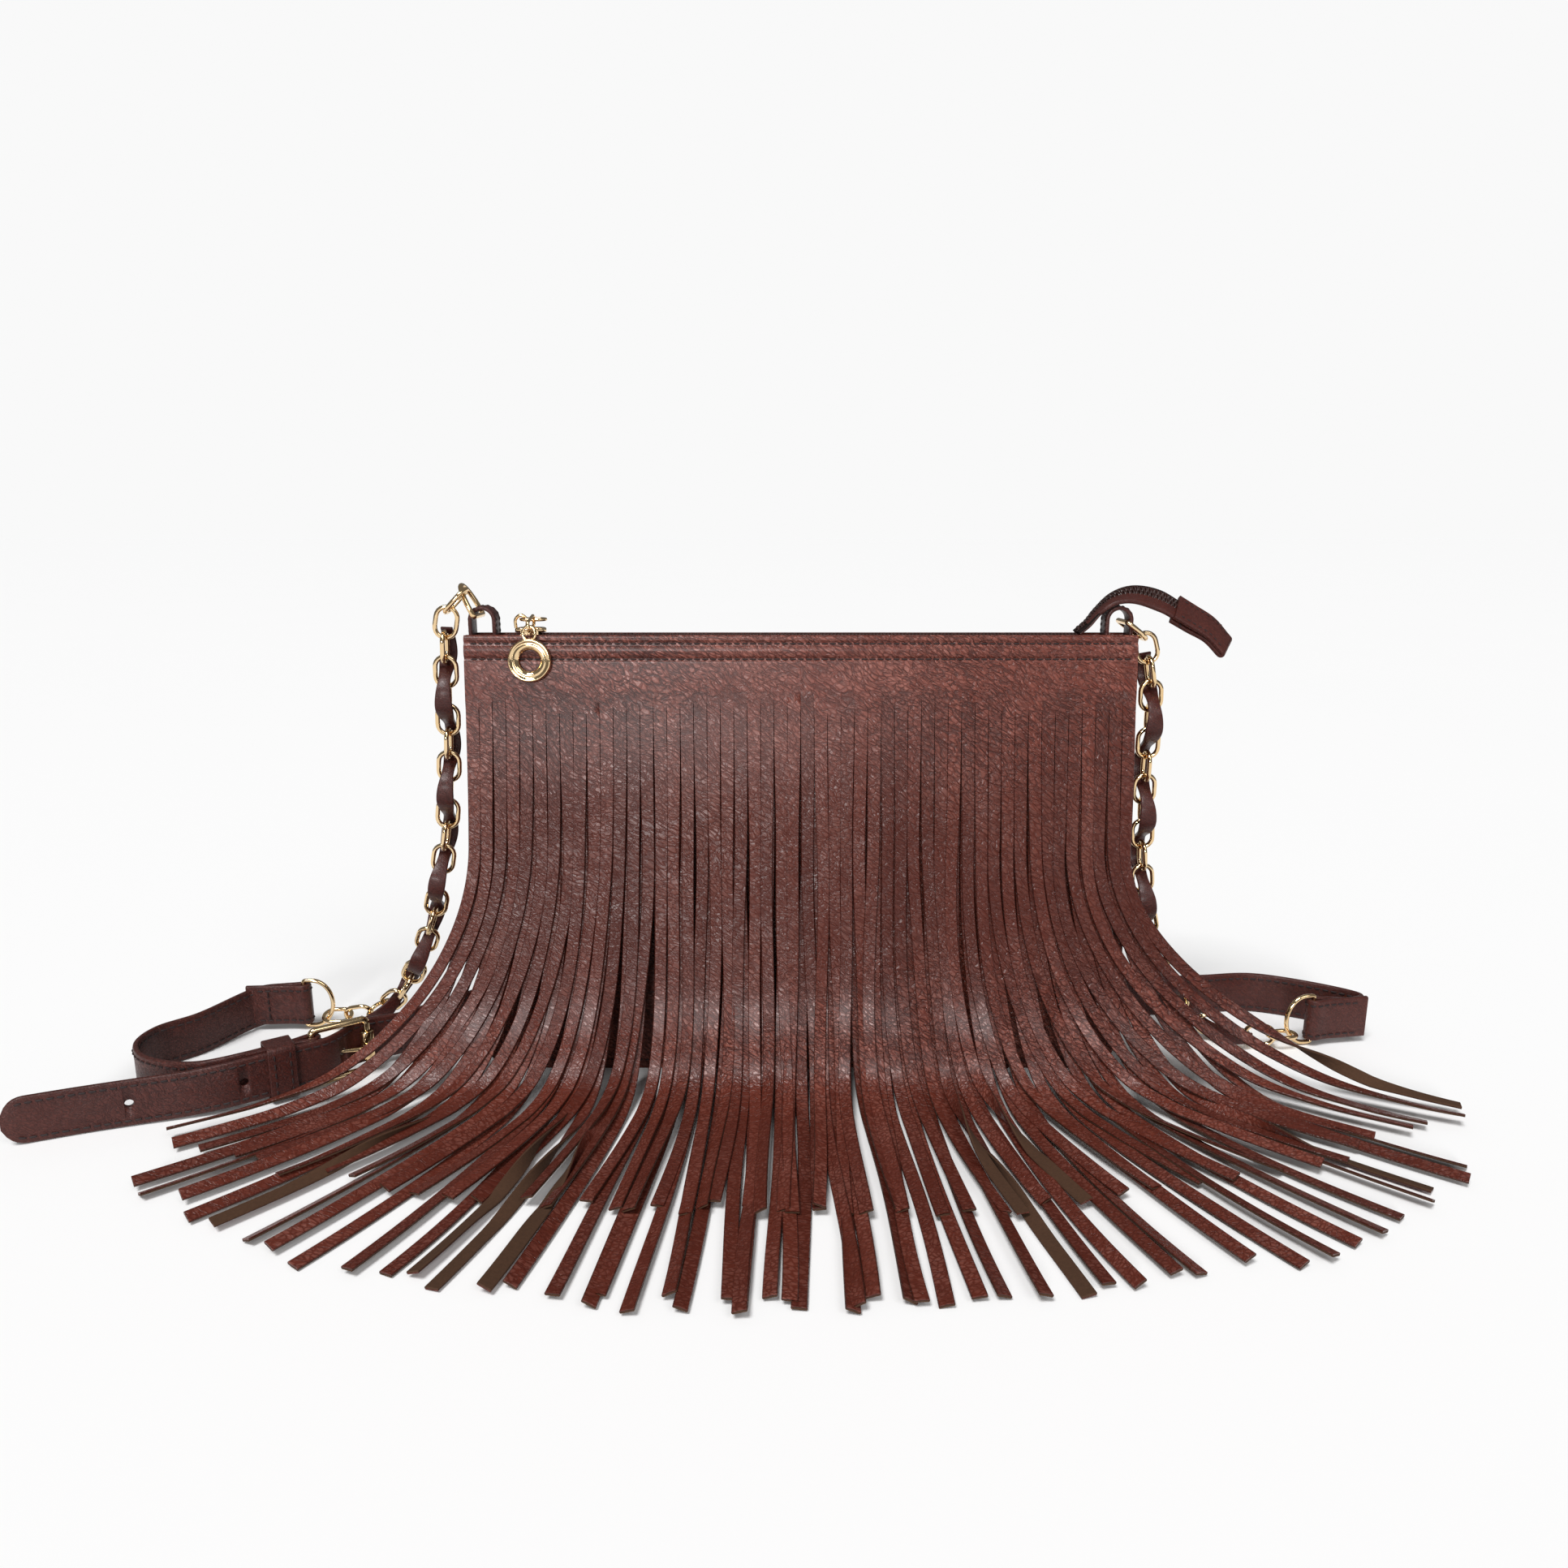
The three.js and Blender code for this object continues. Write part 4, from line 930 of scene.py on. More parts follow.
    def seam_rows(self, build: Build) -> None:
        """Adds the stitch rows that hold the panels to the gusset."""
        line = self.outline(self.seam_inset, self.height - self.seam_drop)
        for side in (-1, 1):
            y = side * self.half_depth(line[:, 1])
            path = np.stack([line[:, 0], y, line[:, 1]], axis=1)
            build.stitches(resample(path, 240), vec(0, side, 0), BODY_STITCH)

    def make(self, finishes: Finishes) -> None:
        """Builds and dresses the body.

        Args:
            finishes: The object's materials.
        """
        leather, panel = Slot.LEATHER, finishes.panel
        for name, side in (("front_panel", -1), ("back_panel", 1)):
            add_piece(f"leather_{name}", partial(self.panel, side=side), panel, nodes=(name,))
        add_piece("leather_gusset", self.gusset, panel, nodes=("gusset_and_base",))
        add_piece("cloth_lining", self.lining, finishes.lining, nodes=("lining",))
        add_piece("body_stitches", self.seam_rows, finishes.thread)


@dataclass
class FringeLayer:
    """One sheet of the fringe: its place in the stack, length and fan, in millimetres."""

    name: str
    offset: float
    length: float
    shortening: float
    left_spread: float
    right_spread: float
    seed: int


# Side view (y, z) of the hanging fringe, below the bag's mouth: over the panel's bulge, then on the floor
HANG_LINE = (
    (-15.6, 125), (-20.8, 92), (-25.9, 62), (-31.8, 33), (-39.5, 15.5), (-49.5, 5.2), (-63, 1.1),
    (-80, 0.2), (-130, 0.1), (-200, 0.1), (-280, 0.1), (-368, 0.1),
)


def outward(line: np.ndarray) -> np.ndarray:
    """Returns the directions (x, y, z) square to a side view line (y, z), towards the front."""
    step_y, step_z = np.gradient(line[:, 0]), np.gradient(line[:, 1])
    return np.stack([0 * step_y, step_z, -step_y], axis=1) / np.hypot(step_y, step_z)[:, None]


@dataclass
class Fringe:
    """Two leather sheets sewn to the front, cut into strips that hang and fan over the floor."""

    bag: BagBody
    pitch: float = 5.6
    slit: float = 33.0
    slit_width: float = 0.28
    slit_rise: float = 10.0
    hairline: float = 0.27
    thickness: float = 1.1
    bevel: float = 0.28
    upper_length: float = 242.0
    length_jitter: float = 5.0
    fan_start: float = 0.23
    even_spread: float = 0.07
    wander: float = 4.2
    flip_above: float = 0.84
    stack_height: float = 1.15
    stations: int = 76
    row_depths: tuple[float, float] = (3.2, 9.6)
    row_dent: float = 0.55
    layers: tuple[FringeLayer, ...] = (
        FringeLayer("fringe_lower", 0.0, 290.0, 34.0, 128.0, 150.0, 7),
        FringeLayer("fringe_upper", 1.5, 242.0, 0.0, 214.0, 352.0, 61),
    )

    def hang_line(self) -> np.ndarray:
        """Returns the side view (y, z) of the hanging sheet: down the panel, out and along the floor."""
        half = self.bag.half_depth
        points = np.array([*((-half(z) - 0.4, z) for z in (190, 175, 157)), *HANG_LINE], dtype=float)
        return Route(np.column_stack([np.zeros(len(points)), points])).spaced(700)[:, 1:]

    def lay(self, layer: FringeLayer, build: Build) -> None:
        """Adds the strips of a layer.

        The middle line of a strip leaves its home x by a drift that grows with the square of
        the run below the fan's start. Its y and z follow the hang line, lifted by the layer's
        offset, by the overlap of neighbours and by half its width where it is rolled over.

        Args:
            layer: The layer.
            build: Collector.
        """
        count = int(self.bag.width // self.pitch)
        pitch = self.bag.width / count
        number = np.arange(count)
        home = (number + 0.5) * pitch - self.bag.width / 2
        share = 2 * home / self.bag.width
        spread = np.where(share < 0, layer.left_spread, layer.right_spread)
        drift = self.even_spread * home + spread * np.sign(share) * np.abs(share) ** 3
        loose = jitter(number * 3.7 + layer.seed * 1.9)
        other = jitter(number * 5.3 + layer.seed * 2.7)
        line = self.hang_line()
        out, run = outward(line), measure(line)
        late = np.maximum(0, run - self.slit - self.fan_start * self.upper_length)
        late = late / ((1 - self.fan_start) * self.upper_length)
        wave = other[:, None] * np.sin(4.5 * late) * late
        ripple = other[:, None] + 0.7 * np.sin(run / 26 + 9 * loose[:, None])
        wander = self.wander * loose[:, None] * late**1.4 + 1.6 * wave
        wander = wander + ease(run, self.slit, self.slit + 95) * ripple
        x = home[:, None] + drift[:, None] * late**2 + wander
        length = layer.length - layer.shortening * np.abs(share) ** 3
        length = length + self.length_jitter * jitter(number + layer.seed) + self.slit_rise
        flips = (np.abs(other) > self.flip_above) * (np.abs(share) > 0.3) * np.sign(loose)
        lean = 0.5 * jitter(number * 2.3 + layer.seed)
        slit_run = 5.0 * np.abs(jitter(number * 1.7 + layer.seed)) + 2.0 * (1 + np.sin(0.37 * number + layer.seed))
        stack = self.stack_height * (0.5 + 0.5 * np.cos(np.pi * number)) + 0.5 * other + 0.5
        tones = 0.14 + 0.14 * jitter(number * 7.9 + layer.seed)
        thin = np.full((self.stations, 1), 0.5 * self.thickness)
        for k in range(count):
            middle = np.column_stack([x[k], line])
            lengths = measure(middle)
            start = float(np.interp(self.slit - self.slit_rise, run, lengths))
            target = start + length[k] * np.linspace(0, 1, self.stations) ** 1.15
            path = columns_of(target, lengths, middle)
            along = tangents(path)
            normal = square_to(columns_of(target, lengths, out), along)
            side = np.cross(along, normal)
            where = (target - start) / length[k]
            roll = lean[k] * ease(where, 0.3, 0.9) + np.pi * flips[k] * ease(where, 0.60, 0.92)
            opened = target - start - slit_run[k]
            gap = (self.slit_width + 0.2 * other[k]) * ease(opened, 20, 110)
            half = 0.5 * (pitch + 0.02 - self.hairline * ease(opened, 0, 4) - gap)[:, None]
            bevel = self.bevel * ease(opened, 0, 70)[:, None]
            rise = layer.offset + self.thickness / 2 + half[:, 0] * np.abs(np.sin(roll))
            rise = rise + stack[k] * (0.5 * ease(where, 0.09, 0.4) + 0.5 * ease(where, 0.4, 0.8))
            across = side * np.cos(roll)[:, None] + normal * np.sin(roll)[:, None]
            u = np.hstack([half, half, half - bevel, 0 * half, bevel - half])
            v = np.hstack([bevel - thin, thin - bevel, thin, thin, thin])
            profile = np.stack([np.hstack([u, -u]), np.hstack([v, -v])], axis=-1)
            path = path + normal * rise[:, None]
            build.sweep(path, across, np.cross(across, along), profile, kind=tones[k], flat_kind=True)

    def head(self, layer: FringeLayer, build: Build) -> None:
        """Adds the uncut head of a layer: a slab on the hang line from the top edge to the slits.

        The outer layer's face is dented along the stitch rows and puffed between them.

        Args:
            layer: The layer.
            build: Collector.
        """
        hang = self.hang_line()
        target = np.linspace(0, self.slit - self.slit_rise + 0.4, 80)
        line = columns_of(target, measure(hang), hang)
        low = np.full(80, layer.offset)
        high = low + self.thickness + 0.03
        if layer is self.layers[1]:
            dent = sum(np.exp(-(((target - depth) / 0.75) ** 2)) for depth in self.row_depths)
            puff = 0.35 * np.exp(-(((target - 6.4) / 1.9) ** 2))
            high = high + puff - self.row_dent * dent - 0.9 * np.maximum(0, 1 - target / 1.6) ** 2
        middle = np.column_stack([0 * target, line])
        ring = [middle + amount[:, None] * outward(line) for amount in (low, high)]
        loop = np.vstack([ring[0], ring[1][::-1]])
        x = np.linspace(-self.bag.width / 2, self.bag.width / 2, 141)
        build.capped(loop + x[:, None, None] * vec(1, 0, 0))

    def rows(self, build: Build) -> None:
        """Adds the two stitch rows along the top edge."""
        top = self.layers[1].offset + self.thickness + 0.02
        line = self.hang_line()
        for y, z in columns_of(np.array(self.row_depths), measure(line), line):
            ends = [vec(side * (self.bag.width / 2 - 2.5), y - top + 0.3, z) for side in (-1, 1)]
            build.stitches(resample(np.array(ends), 60), vec(0, -1, 0.05), TOP_STITCH)

    def sheet(self, layer: FringeLayer, build: Build) -> None:
        """Adds the head and the strips of a layer."""
        self.head(layer, build)
        self.lay(layer, build)

    def make(self, finishes: Finishes) -> None:
        """Builds and dresses both layers.

        Args:
            finishes: The object's materials.
        """
        for layer in self.layers:
            maker, nodes = partial(self.sheet, layer), (layer.name,)
            piece = add_piece(
                f"cut_{layer.name}", maker, finishes.fringe, nodes=nodes, smooth_angle=35
            )
            width, height = self.bag.width * MM, (self.slit + layer.length) * MM
            area = 0.92 * width * (height - 0.25 * layer.shortening * MM)
        add_piece("top_stitches", self.rows, finishes.thread)


def oval(
    centre: np.ndarray, along: np.ndarray, across: np.ndarray, length: float, width: float, wire: float
) -> np.ndarray:
    """Middle line of an oval wire link: two straights and two half circles.

    Args:
        centre: Middle of the link.
        along: Unit direction of its length.
        across: Unit direction of its width.
        length: Outside length.
        width: Outside width.
        wire: Wire thickness.

    Returns:
        Points of the closed line.
    """
    radius = (width - wire) / 2
    straight = (length - wire) / 2 - radius
    turn = np.linspace(-np.pi / 2, np.pi / 2, 12)
    half = np.stack([straight + radius * np.cos(turn), radius * np.sin(turn)], axis=1)
    line = np.vstack([half, -half])
    return centre + line[:, :1] * along + line[:, 1:] * across


@dataclass
class Ring:
    """A D-ring: a straight bar, short legs and a round bow, in millimetres."""

    bar: np.ndarray
    side: np.ndarray
    reach_way: np.ndarray
    half: float
    leg: float
    reach: float

    def at(self, turn: np.ndarray | float) -> np.ndarray:
        """Returns the bow's point at an angle from its middle."""
        turn = np.atleast_1d(turn)[:, None]
        bow = self.half * np.sin(turn) * self.side
        return self.bar + bow + (self.leg + (self.reach - self.leg) * np.cos(turn)) * self.reach_way

    def line(self) -> np.ndarray:
        """Returns the closed middle line, with the corners at the bar rounded."""
        bow = self.at(np.linspace(-np.pi / 2, np.pi / 2, 25))
        corner = 1.1
        ends = []
        for sign in (1, -1):
            turn = np.linspace(0, np.pi / 2, 5)
            out = (self.half - corner + corner * np.cos(turn))[:, None] * sign * self.side
            down = (corner - corner * np.sin(turn))[:, None] * self.reach_way
            ends.append(self.bar + out + down)
        return np.vstack([bow, ends[0], ends[1][::-1]])


# Middle line of the zip's tail, from the end of the zip at the level of the bag's mouth
TAIL_KNOTS = (
    (-1.5, 0, 0.6), (2.5, 0, 4.0), (7, 0, 9.6), (13, -0.5, 14.6), (21, -1, 16.5), (32, -1.5, 14), (42, -2, 8.5),
)


@dataclass
class TopZip:
    """Zip, slider and puller in the top opening, in millimetres."""

    bag: BagBody
    left: float = -125.0
    right: float = 118.0
    tape_top: float = 188.4
    tape_drop: float = 8.0
    tape_thickness: float = 0.7
    opening: float = 4.7
    coil_pitch: float = 1.5
    coil_wire: float = 0.42
    slider_x: float = -114.0
    slider_length: float = 13.0
    slider_width: float = 7.4
    plate_bottom: float = 190.8
    plate_top: float = 192.8
    puller_level: float = 196.1
    wire: float = 1.4
    disc_radius: float = 9.0
    disc_hole: float = 4.5
    disc_drop: float = 5.0
    slit: float = 33.0
    link_size: tuple[float, float] = (11.7, 7.0)
    jump_size: tuple[float, float] = (13.8, 5.6)
    jump_dip: float = 11.0
    eye_width: float = 6.4

    @property
    def bail_x(self) -> float:
        """Returns the place of the slider's bail along the zip."""
        return self.slider_x - 0.3 * self.slider_length

    def half(self, side: float, tape: Build, coil: Build) -> None:
        """Adds one half of the zip: an angled tape, and a coil whose loops reach over the middle.

        Args:
            side: -1 front, 1 back.
            tape: Collector for the tape.
            coil: Collector for the coil.
        """
        hem = self.opening - self.tape_thickness
        low = self.tape_top - self.tape_thickness
        top, wall, foot = self.tape_top, self.opening, self.tape_top - self.tape_drop
        profile = np.array([
            (0.15, top), (0.15, low), (hem - 0.6, low), (hem - 0.1, low - 0.2), (hem, low - 0.8),
            (hem, foot), (wall, foot), (wall, low - 0.5), (wall - 0.3, top - 0.3), (wall - 1.0, top),
        ]) * vec(side, 1)
        x = np.linspace(self.left, self.right, 80)
        path = np.stack([x, 0 * x, 0 * x], axis=1)
        tape.sweep(path, vec(0, 1, 0), UP, profile)
        count = int((self.right - self.left - 1) / self.coil_pitch)
        starts = self.left + 0.8 + self.coil_pitch * (np.arange(count) + (0.5 if side > 0 else 0.0))
        turn = np.linspace(0, 2 * np.pi, 13)[:-1]
        swing, climb = np.cos(turn), np.sin(turn)
        loop = np.stack([
            0.32 * climb + 0.35 * side * swing,
            side * (1.35 - 1.45 * swing),
            0.55 * climb + self.tape_top + 0.95,
        ], axis=1)
        for start in starts:
            coil.tube(loop + vec(start, 0, 0), self.coil_wire, 5, True)

    def slider(self, build: Build) -> None:
        """Adds the slider: a domed plate with turned-down sides and an arched bail."""
        back = self.slider_x - self.slider_length / 2
        x = np.linspace(back, back + self.slider_length, 40)
        share = (x - back) / self.slider_length
        ends = 2 * share - 1
        waist = (0.82 + 0.18 * ease(share, 0.0, 0.25)) * (1 - 0.16 * ease(share, 0.75, 1.0))
        wide = self.slider_width / 2 * waist * np.sqrt(np.clip(1 - ends**16, 0.02, 1))
        height = self.plate_top - self.plate_bottom
        dome = height * (0.45 + 0.55 * np.sqrt(np.clip(1 - ends**8, 0.0, 1)))
        shape = rounded_profile(2.0, 1.0, 0.28, 4) + vec(0, 0.5)
        profile = shape[None] * np.stack([wide, dome], axis=1)[:, None]
        path = np.stack([x, 0 * x, 0 * x + self.plate_bottom], axis=1)
        build.sweep(path, vec(0, 1, 0), UP, profile)
        for side in (-1, 1):
            flange = np.array([(2.95, -2.1), (3.7, -2.1), (3.7, 0.6), (2.95, 0.6)]) * vec(side, 1)
            build.sweep(path[9:32], vec(0, 1, 0), UP, flange)
        arch = self.wire + 0.9
        level, low = self.puller_level, self.plate_top - 0.4
        knots = ((-arch, low), (-arch, level), (0, level + self.wire + 0.35), (arch, level), (arch, low))
        bail = Route(np.array([(self.bail_x + dx, 0, z) for dx, z in knots])).spaced(28)
        build.tube(bail, self.wire / 2, 12)

    def puller(self) -> dict[str, Build]:
        """Builds the oval link, the jump link and the dished ring with its eye.

        Returns:
            A collector for each node name.
        """
        link, jump, ring = Build(), Build(), Build()
        wire, radius = self.wire, self.wire / 2
        length, width = self.link_size
        centre = vec(self.bail_x + (length - wire) / 2, 0, self.puller_level)
        link.tube(oval(centre, vec(1, 0, 0), vec(0, 1, 0), length, width, wire), radius, 12, True)
        dip = math.radians(self.jump_dip)
        forward = vec(0, -math.cos(dip), -math.sin(dip))
        start = vec(centre[0] + 0.5, -(width - wire) / 2 + wire + 0.3, self.puller_level)
        reach = (self.jump_size[0] - wire) / 2
        across = np.cross(forward, vec(1, 0, 0))
        jump.tube(oval(start + forward * reach, forward, across, *self.jump_size, wire), radius, 12, True)
        eye = start + forward * (2 * reach - wire - 0.3)
        slope = float(self.bag.half_depth(self.bag.height - self.slit)) - self.bag.top_half
        lean = math.atan2(slope, self.slit)
        down = vec(0, -math.sin(lean), -math.cos(lean))
        face = vec(0, -math.cos(lean), math.sin(lean))
        r, hole = self.disc_radius, self.disc_hole
        middle = eye + down * (r + self.disc_drop)
        profile = np.array([
            (hole, -0.6), (hole, -0.1), (hole + 0.25, 0.12), (0.60 * r, 0.75), (0.68 * r, 1.08),
            (0.72 * r, 1.05), (0.75 * r, 0.82), (0.80 * r, 0.78), (0.84 * r, 1.0), (0.88 * r, 1.42),
            (0.93 * r, 1.5), (0.97 * r, 1.2), (0.995 * r, 0.6), (0.995 * r, -0.1), (0.96 * r, -0.7),
            (0.9 * r, -0.9), (hole + 0.5, -0.9),
        ])
        ring.turned(profile, middle, face, down, 96)
        top = middle - down * (r + self.disc_drop / 2 - 0.4)
        loop = oval(top, down, vec(1, 0, 0), self.disc_drop + wire + 0.8, self.eye_width, wire)
        ring.tube(loop, radius, 12, True)
        return {"puller_link": link, "puller_jump_link": jump, "puller_ring": ring}

    def tail(self, cloth: Build, coil: Build, band: Build, tab: Build, thread: Build) -> None:
        """Adds the zip's closed end: a coil on a leather-backed band that arches into a folded tab.

        Args:
            cloth: Collector for the tape.
            coil: Collector for the coil.
            band: Collector for the leather under the tape.
            tab: Collector for the end tab.
            thread: Collector for stitches and loose threads.
        """
        knots = np.array(TAIL_KNOTS) + vec(self.right + 0.3, 0, self.bag.height)
        path = Route(knots).spaced(60)
        along = tangents(path)
        share = np.linspace(0, 1, len(path))
        lean = 0.8 * ease(share, 0.12, 0.8)[:, None]
        wide = square_to(vec(0, 1, 0) * np.cos(lean) + UP * np.sin(lean), along)
        thick = np.cross(along, wide)
        thick = thick * np.sign(thick[:, 2:] + 1e-9)
        width = 2 * self.opening + 2
        cloth.sweep(path + thick * 0.35, wide, thick, rounded_profile(width, 0.6, 0.2))
        band.sweep(path - thick * 0.35, wide, thick, rounded_profile(width - 0.6, 0.9, 0.3))
        edge = path - wide * (width / 2 - 2.4) * ease(share, 0.05, 0.3)[:, None] + thick * 0.25
        band.sweep(edge[6:], wide[6:], thick[6:], rounded_profile(6.2, 2.0, 0.8, 3))
        self.tail_coil(path, wide, thick, coil)
        self.tail_tab(path, wide[-1], width, tab, thread)

    def tail_coil(self, path: np.ndarray, wide: np.ndarray, thick: np.ndarray, coil: Build) -> None:
        """Adds the loops of the tail's coil.

        Args:
            path: The tail's middle line.
            wide: Direction across the tail at each point.
            thick: Direction square to the tape at each point.
            coil: Collector.
        """
        along, run = tangents(path), measure(path)
        count = int(run[-1] / self.coil_pitch)
        turn = np.linspace(0, 2 * np.pi, 13)[:-1]
        swing, climb = np.cos(turn)[:, None], np.sin(turn)[:, None]
        for side in (-1, 1):
            for value in (np.arange(count) + (0.75 if side > 0 else 0.25)) * run[-1] / count:
                k = min(int(np.searchsorted(run, value)), len(path) - 1)
                across = 1.6 * ease(value, 8, 26) + side * (1.2 - 1.35 * swing)
                loop = path[k] + across * wide[k] + (1.05 + 0.45 * climb) * thick[k]
                coil.tube(loop + 0.3 * (climb + side * swing) * along[k], 0.38, 5, True)

    def tail_tab(self, path: np.ndarray, wide: np.ndarray, width: float, tab: Build, thread: Build) -> None:
        """Adds the folded end tab: two plies that close on each other, a fold, stitches and loose threads.

        Args:
            path: The tail's middle line, which ends inside the tab.
            wide: Direction across the tail at its end.
            width: Width of the tail's tape.
            tab: Collector for the tab.
            thread: Collector for the threads.
        """
        line = path[-1] + vec(-4.0, 4.0, 13.0, 21.0)[:, None] * unit(path[-1] - path[-4])
        line[3, 2] -= 3
        smooth = Route(line).spaced(26)
        ahead = tangents(smooth)
        w = square_to(wide, ahead)
        t = np.cross(ahead, w)
        share = np.linspace(0, 1, len(smooth))
        ply = 1.32 * (1.0 - 0.3 * ease(share, 0.25, 0.9))[:, None]
        narrow = np.stack([1.0 - 0.10 * share, np.ones_like(share)], axis=1)[:, None]
        profile = rounded_profile(width + 3, 1.9, 0.6, 3) * narrow
        for face in (-1, 1):
            tab.sweep(smooth + face * ply * t, w, t, profile)
        bend = np.linspace(-np.pi / 2, np.pi / 2, 9)[:, None]
        fold = smooth[-1] + 0.92 * (np.sin(bend) * t[-1] + np.cos(bend) * ahead[-1])
        flap = rounded_profile((width + 3) * 0.9, 1.9, 0.6, 3)
        tab.sweep(fold, w[-1], np.cross(tangents(fold), w[-1]), flap)
        for side, u in product((-1, 1), (-1, 1)):
            row = smooth + u * (width / 2 - 0.9) * w + side * (0.95 + ply) * t
            thread.stitches(resample(row[2:-2], 24), side * t[2], TAIL_STITCH)
        for place, out in ((4, -1), (5, 1), (20, 1)):
            tip, step = smooth[place] + out * (width / 2 + 1.2) * w[place], out * w[place]
            ends = [tip - step, tip + 0.8 * step, tip + 1.7 * step + vec(0.5, -0.3, 0.2)]
            thread.tube(Route(np.array(ends)).spaced(8), 0.3, 6)

    def make(self, finishes: Finishes) -> None:
        """Builds and dresses the zip.

        Args:
            finishes: The object's materials.
        """
        for name, side in (("zip_half_front", -1), ("zip_half_back", 1)):
            tape, coil = Build(), Build()
            self.half(side, tape, coil)
            dress(tape.finish(f"tape_{name}"), finishes.tape, Ride.BAG, (name,))
            dress(coil.finish(f"coil_{name}", 60), finishes.coil, Ride.BAG)
        gold = finishes.gold
        add_piece("gold_zip_slider", self.slider, gold, Ride.SLIDER, ("zip_slider",))
        rides = {"puller_link": Ride.LINK, "puller_jump_link": Ride.JUMP, "puller_ring": Ride.RING}
        for name, made in self.puller().items():
            dress(made.finish(f"gold_{name}", 50), gold, rides[name], (name,))
        cloth, coil, band, tab, thread = (Build() for _ in range(5))
        self.tail(cloth, coil, band, tab, thread)
        dress(cloth.finish("tail_cloth"), finishes.tape, Ride.BAG, ("zip_tail",))
        dress(coil.finish("tail_coil", 60), finishes.coil, Ride.BAG)
        dress(band.finish("tail_leather_band"), finishes.strap, Ride.BAG)
        dress(tab.finish("tail_tab"), finishes.strap, Ride.BAG, ("zip_tail_tab",))
        dress(thread.finish("tail_threads"), finishes.thread, Ride.BAG)


@dataclass
class RingTabs:
    """Leather loops at the two top ends and the D-rings in them, in millimetres."""

    bag: BagBody
    inset: float = 4.5
    inner: float = 4.2
    thickness: float = 1.6
    rise: float = 6.0
    width: float = 8.8
    wire: float = 2.2
    ring_half: float = 7.6

    def ring(self, side: float) -> Ring:
        """Returns the D-ring at the left (-1) or right (1) end."""
        tab = self.tab_top(side)
        room = self.inner - self.wire / 2 - 0.3
        if side < 0:
            shift, way, reach = vec(-0.8, 0, 0.6), vec(-0.46, 0, 0.89), 14.0
        else:
            shift, way, reach = vec(0.9, 0, -0.3), vec(0.8, 0, -0.6), 12.0
        return Ring(tab + room * shift, vec(0, 1, 0), unit(way), self.ring_half, self.wire, reach)

    def tab_top(self, side: float) -> np.ndarray:
        """Returns the middle of the half circle that a loop ends in."""
        return vec(side * (self.bag.width / 2 - self.inset - 2), 0, self.bag.height + self.rise)

    def tab(self, side: float, build: Build, thread: Build) -> None:
        """Adds one loop: a band that rises from the bag's mouth, turns over the bar and goes back.

        Args:
            side: -1 left, 1 right.
            build: Collector for the leather.
            thread: Collector for the stitches.
        """
        tab = self.tab_top(side)
        foot = self.bag.height - self.bag.gusset_drop + self.bag.gap - tab[2]
        radius = self.inner + self.thickness / 2
        turn = np.linspace(0, np.pi, 17)
        arc = radius * np.stack([np.cos(turn), 0 * turn, np.sin(turn)], axis=1)
        climb = np.linspace(foot, 0, 8)[:-1]
        leg = np.stack([np.full_like(climb, radius), 0 * climb, climb], axis=1)
        path = tab + np.vstack([leg, arc, leg[::-1] * vec(-1, 1, 1)])
        along = tangents(path)
        normal = np.cross(vec(0, 1, 0), along)
        build.sweep(path, vec(0, 1, 0), normal, rounded_profile(self.width, self.thickness, 0.5))
        out = math.copysign(1.0, normal[12, 2]) * normal[4:-4]
        for sign in (-1, 1):
            row = path[4:-4] + vec(0, sign * (self.width / 2 - 1.4), 0)
            thread.stitches(row + out * self.thickness / 2, out, TAB_STITCH)

    def make(self, finishes: Finishes) -> None:
        """Builds and dresses the loops and rings.

        Args:
            finishes: The object's materials.
        """
        for name, side in (("left", -1), ("right", 1)):
            build, thread, metal = Build(), Build(), Build()
            self.tab(side, build, thread)
            nodes = (f"ring_tab_{name}",)
            dress(build.finish(f"leather_tab_{name}"), finishes.strap, Ride.BAG, nodes)
            dress(thread.finish(f"tab_stitches_{name}"), finishes.thread, Ride.BAG)
            metal.tube(self.ring(side).line(), self.wire / 2, 14, True)
            nodes = (f"bag_ring_{name}",)
            dress(metal.finish(f"gold_bag_ring_{name}", 50), finishes.gold, Ride.BAG, nodes)


@dataclass
class Link:
    """One chain link's place: centre and directions, and whether it stands on edge."""

    centre: np.ndarray
    along: np.ndarray
    normal: np.ndarray
    across: np.ndarray
    edge: bool


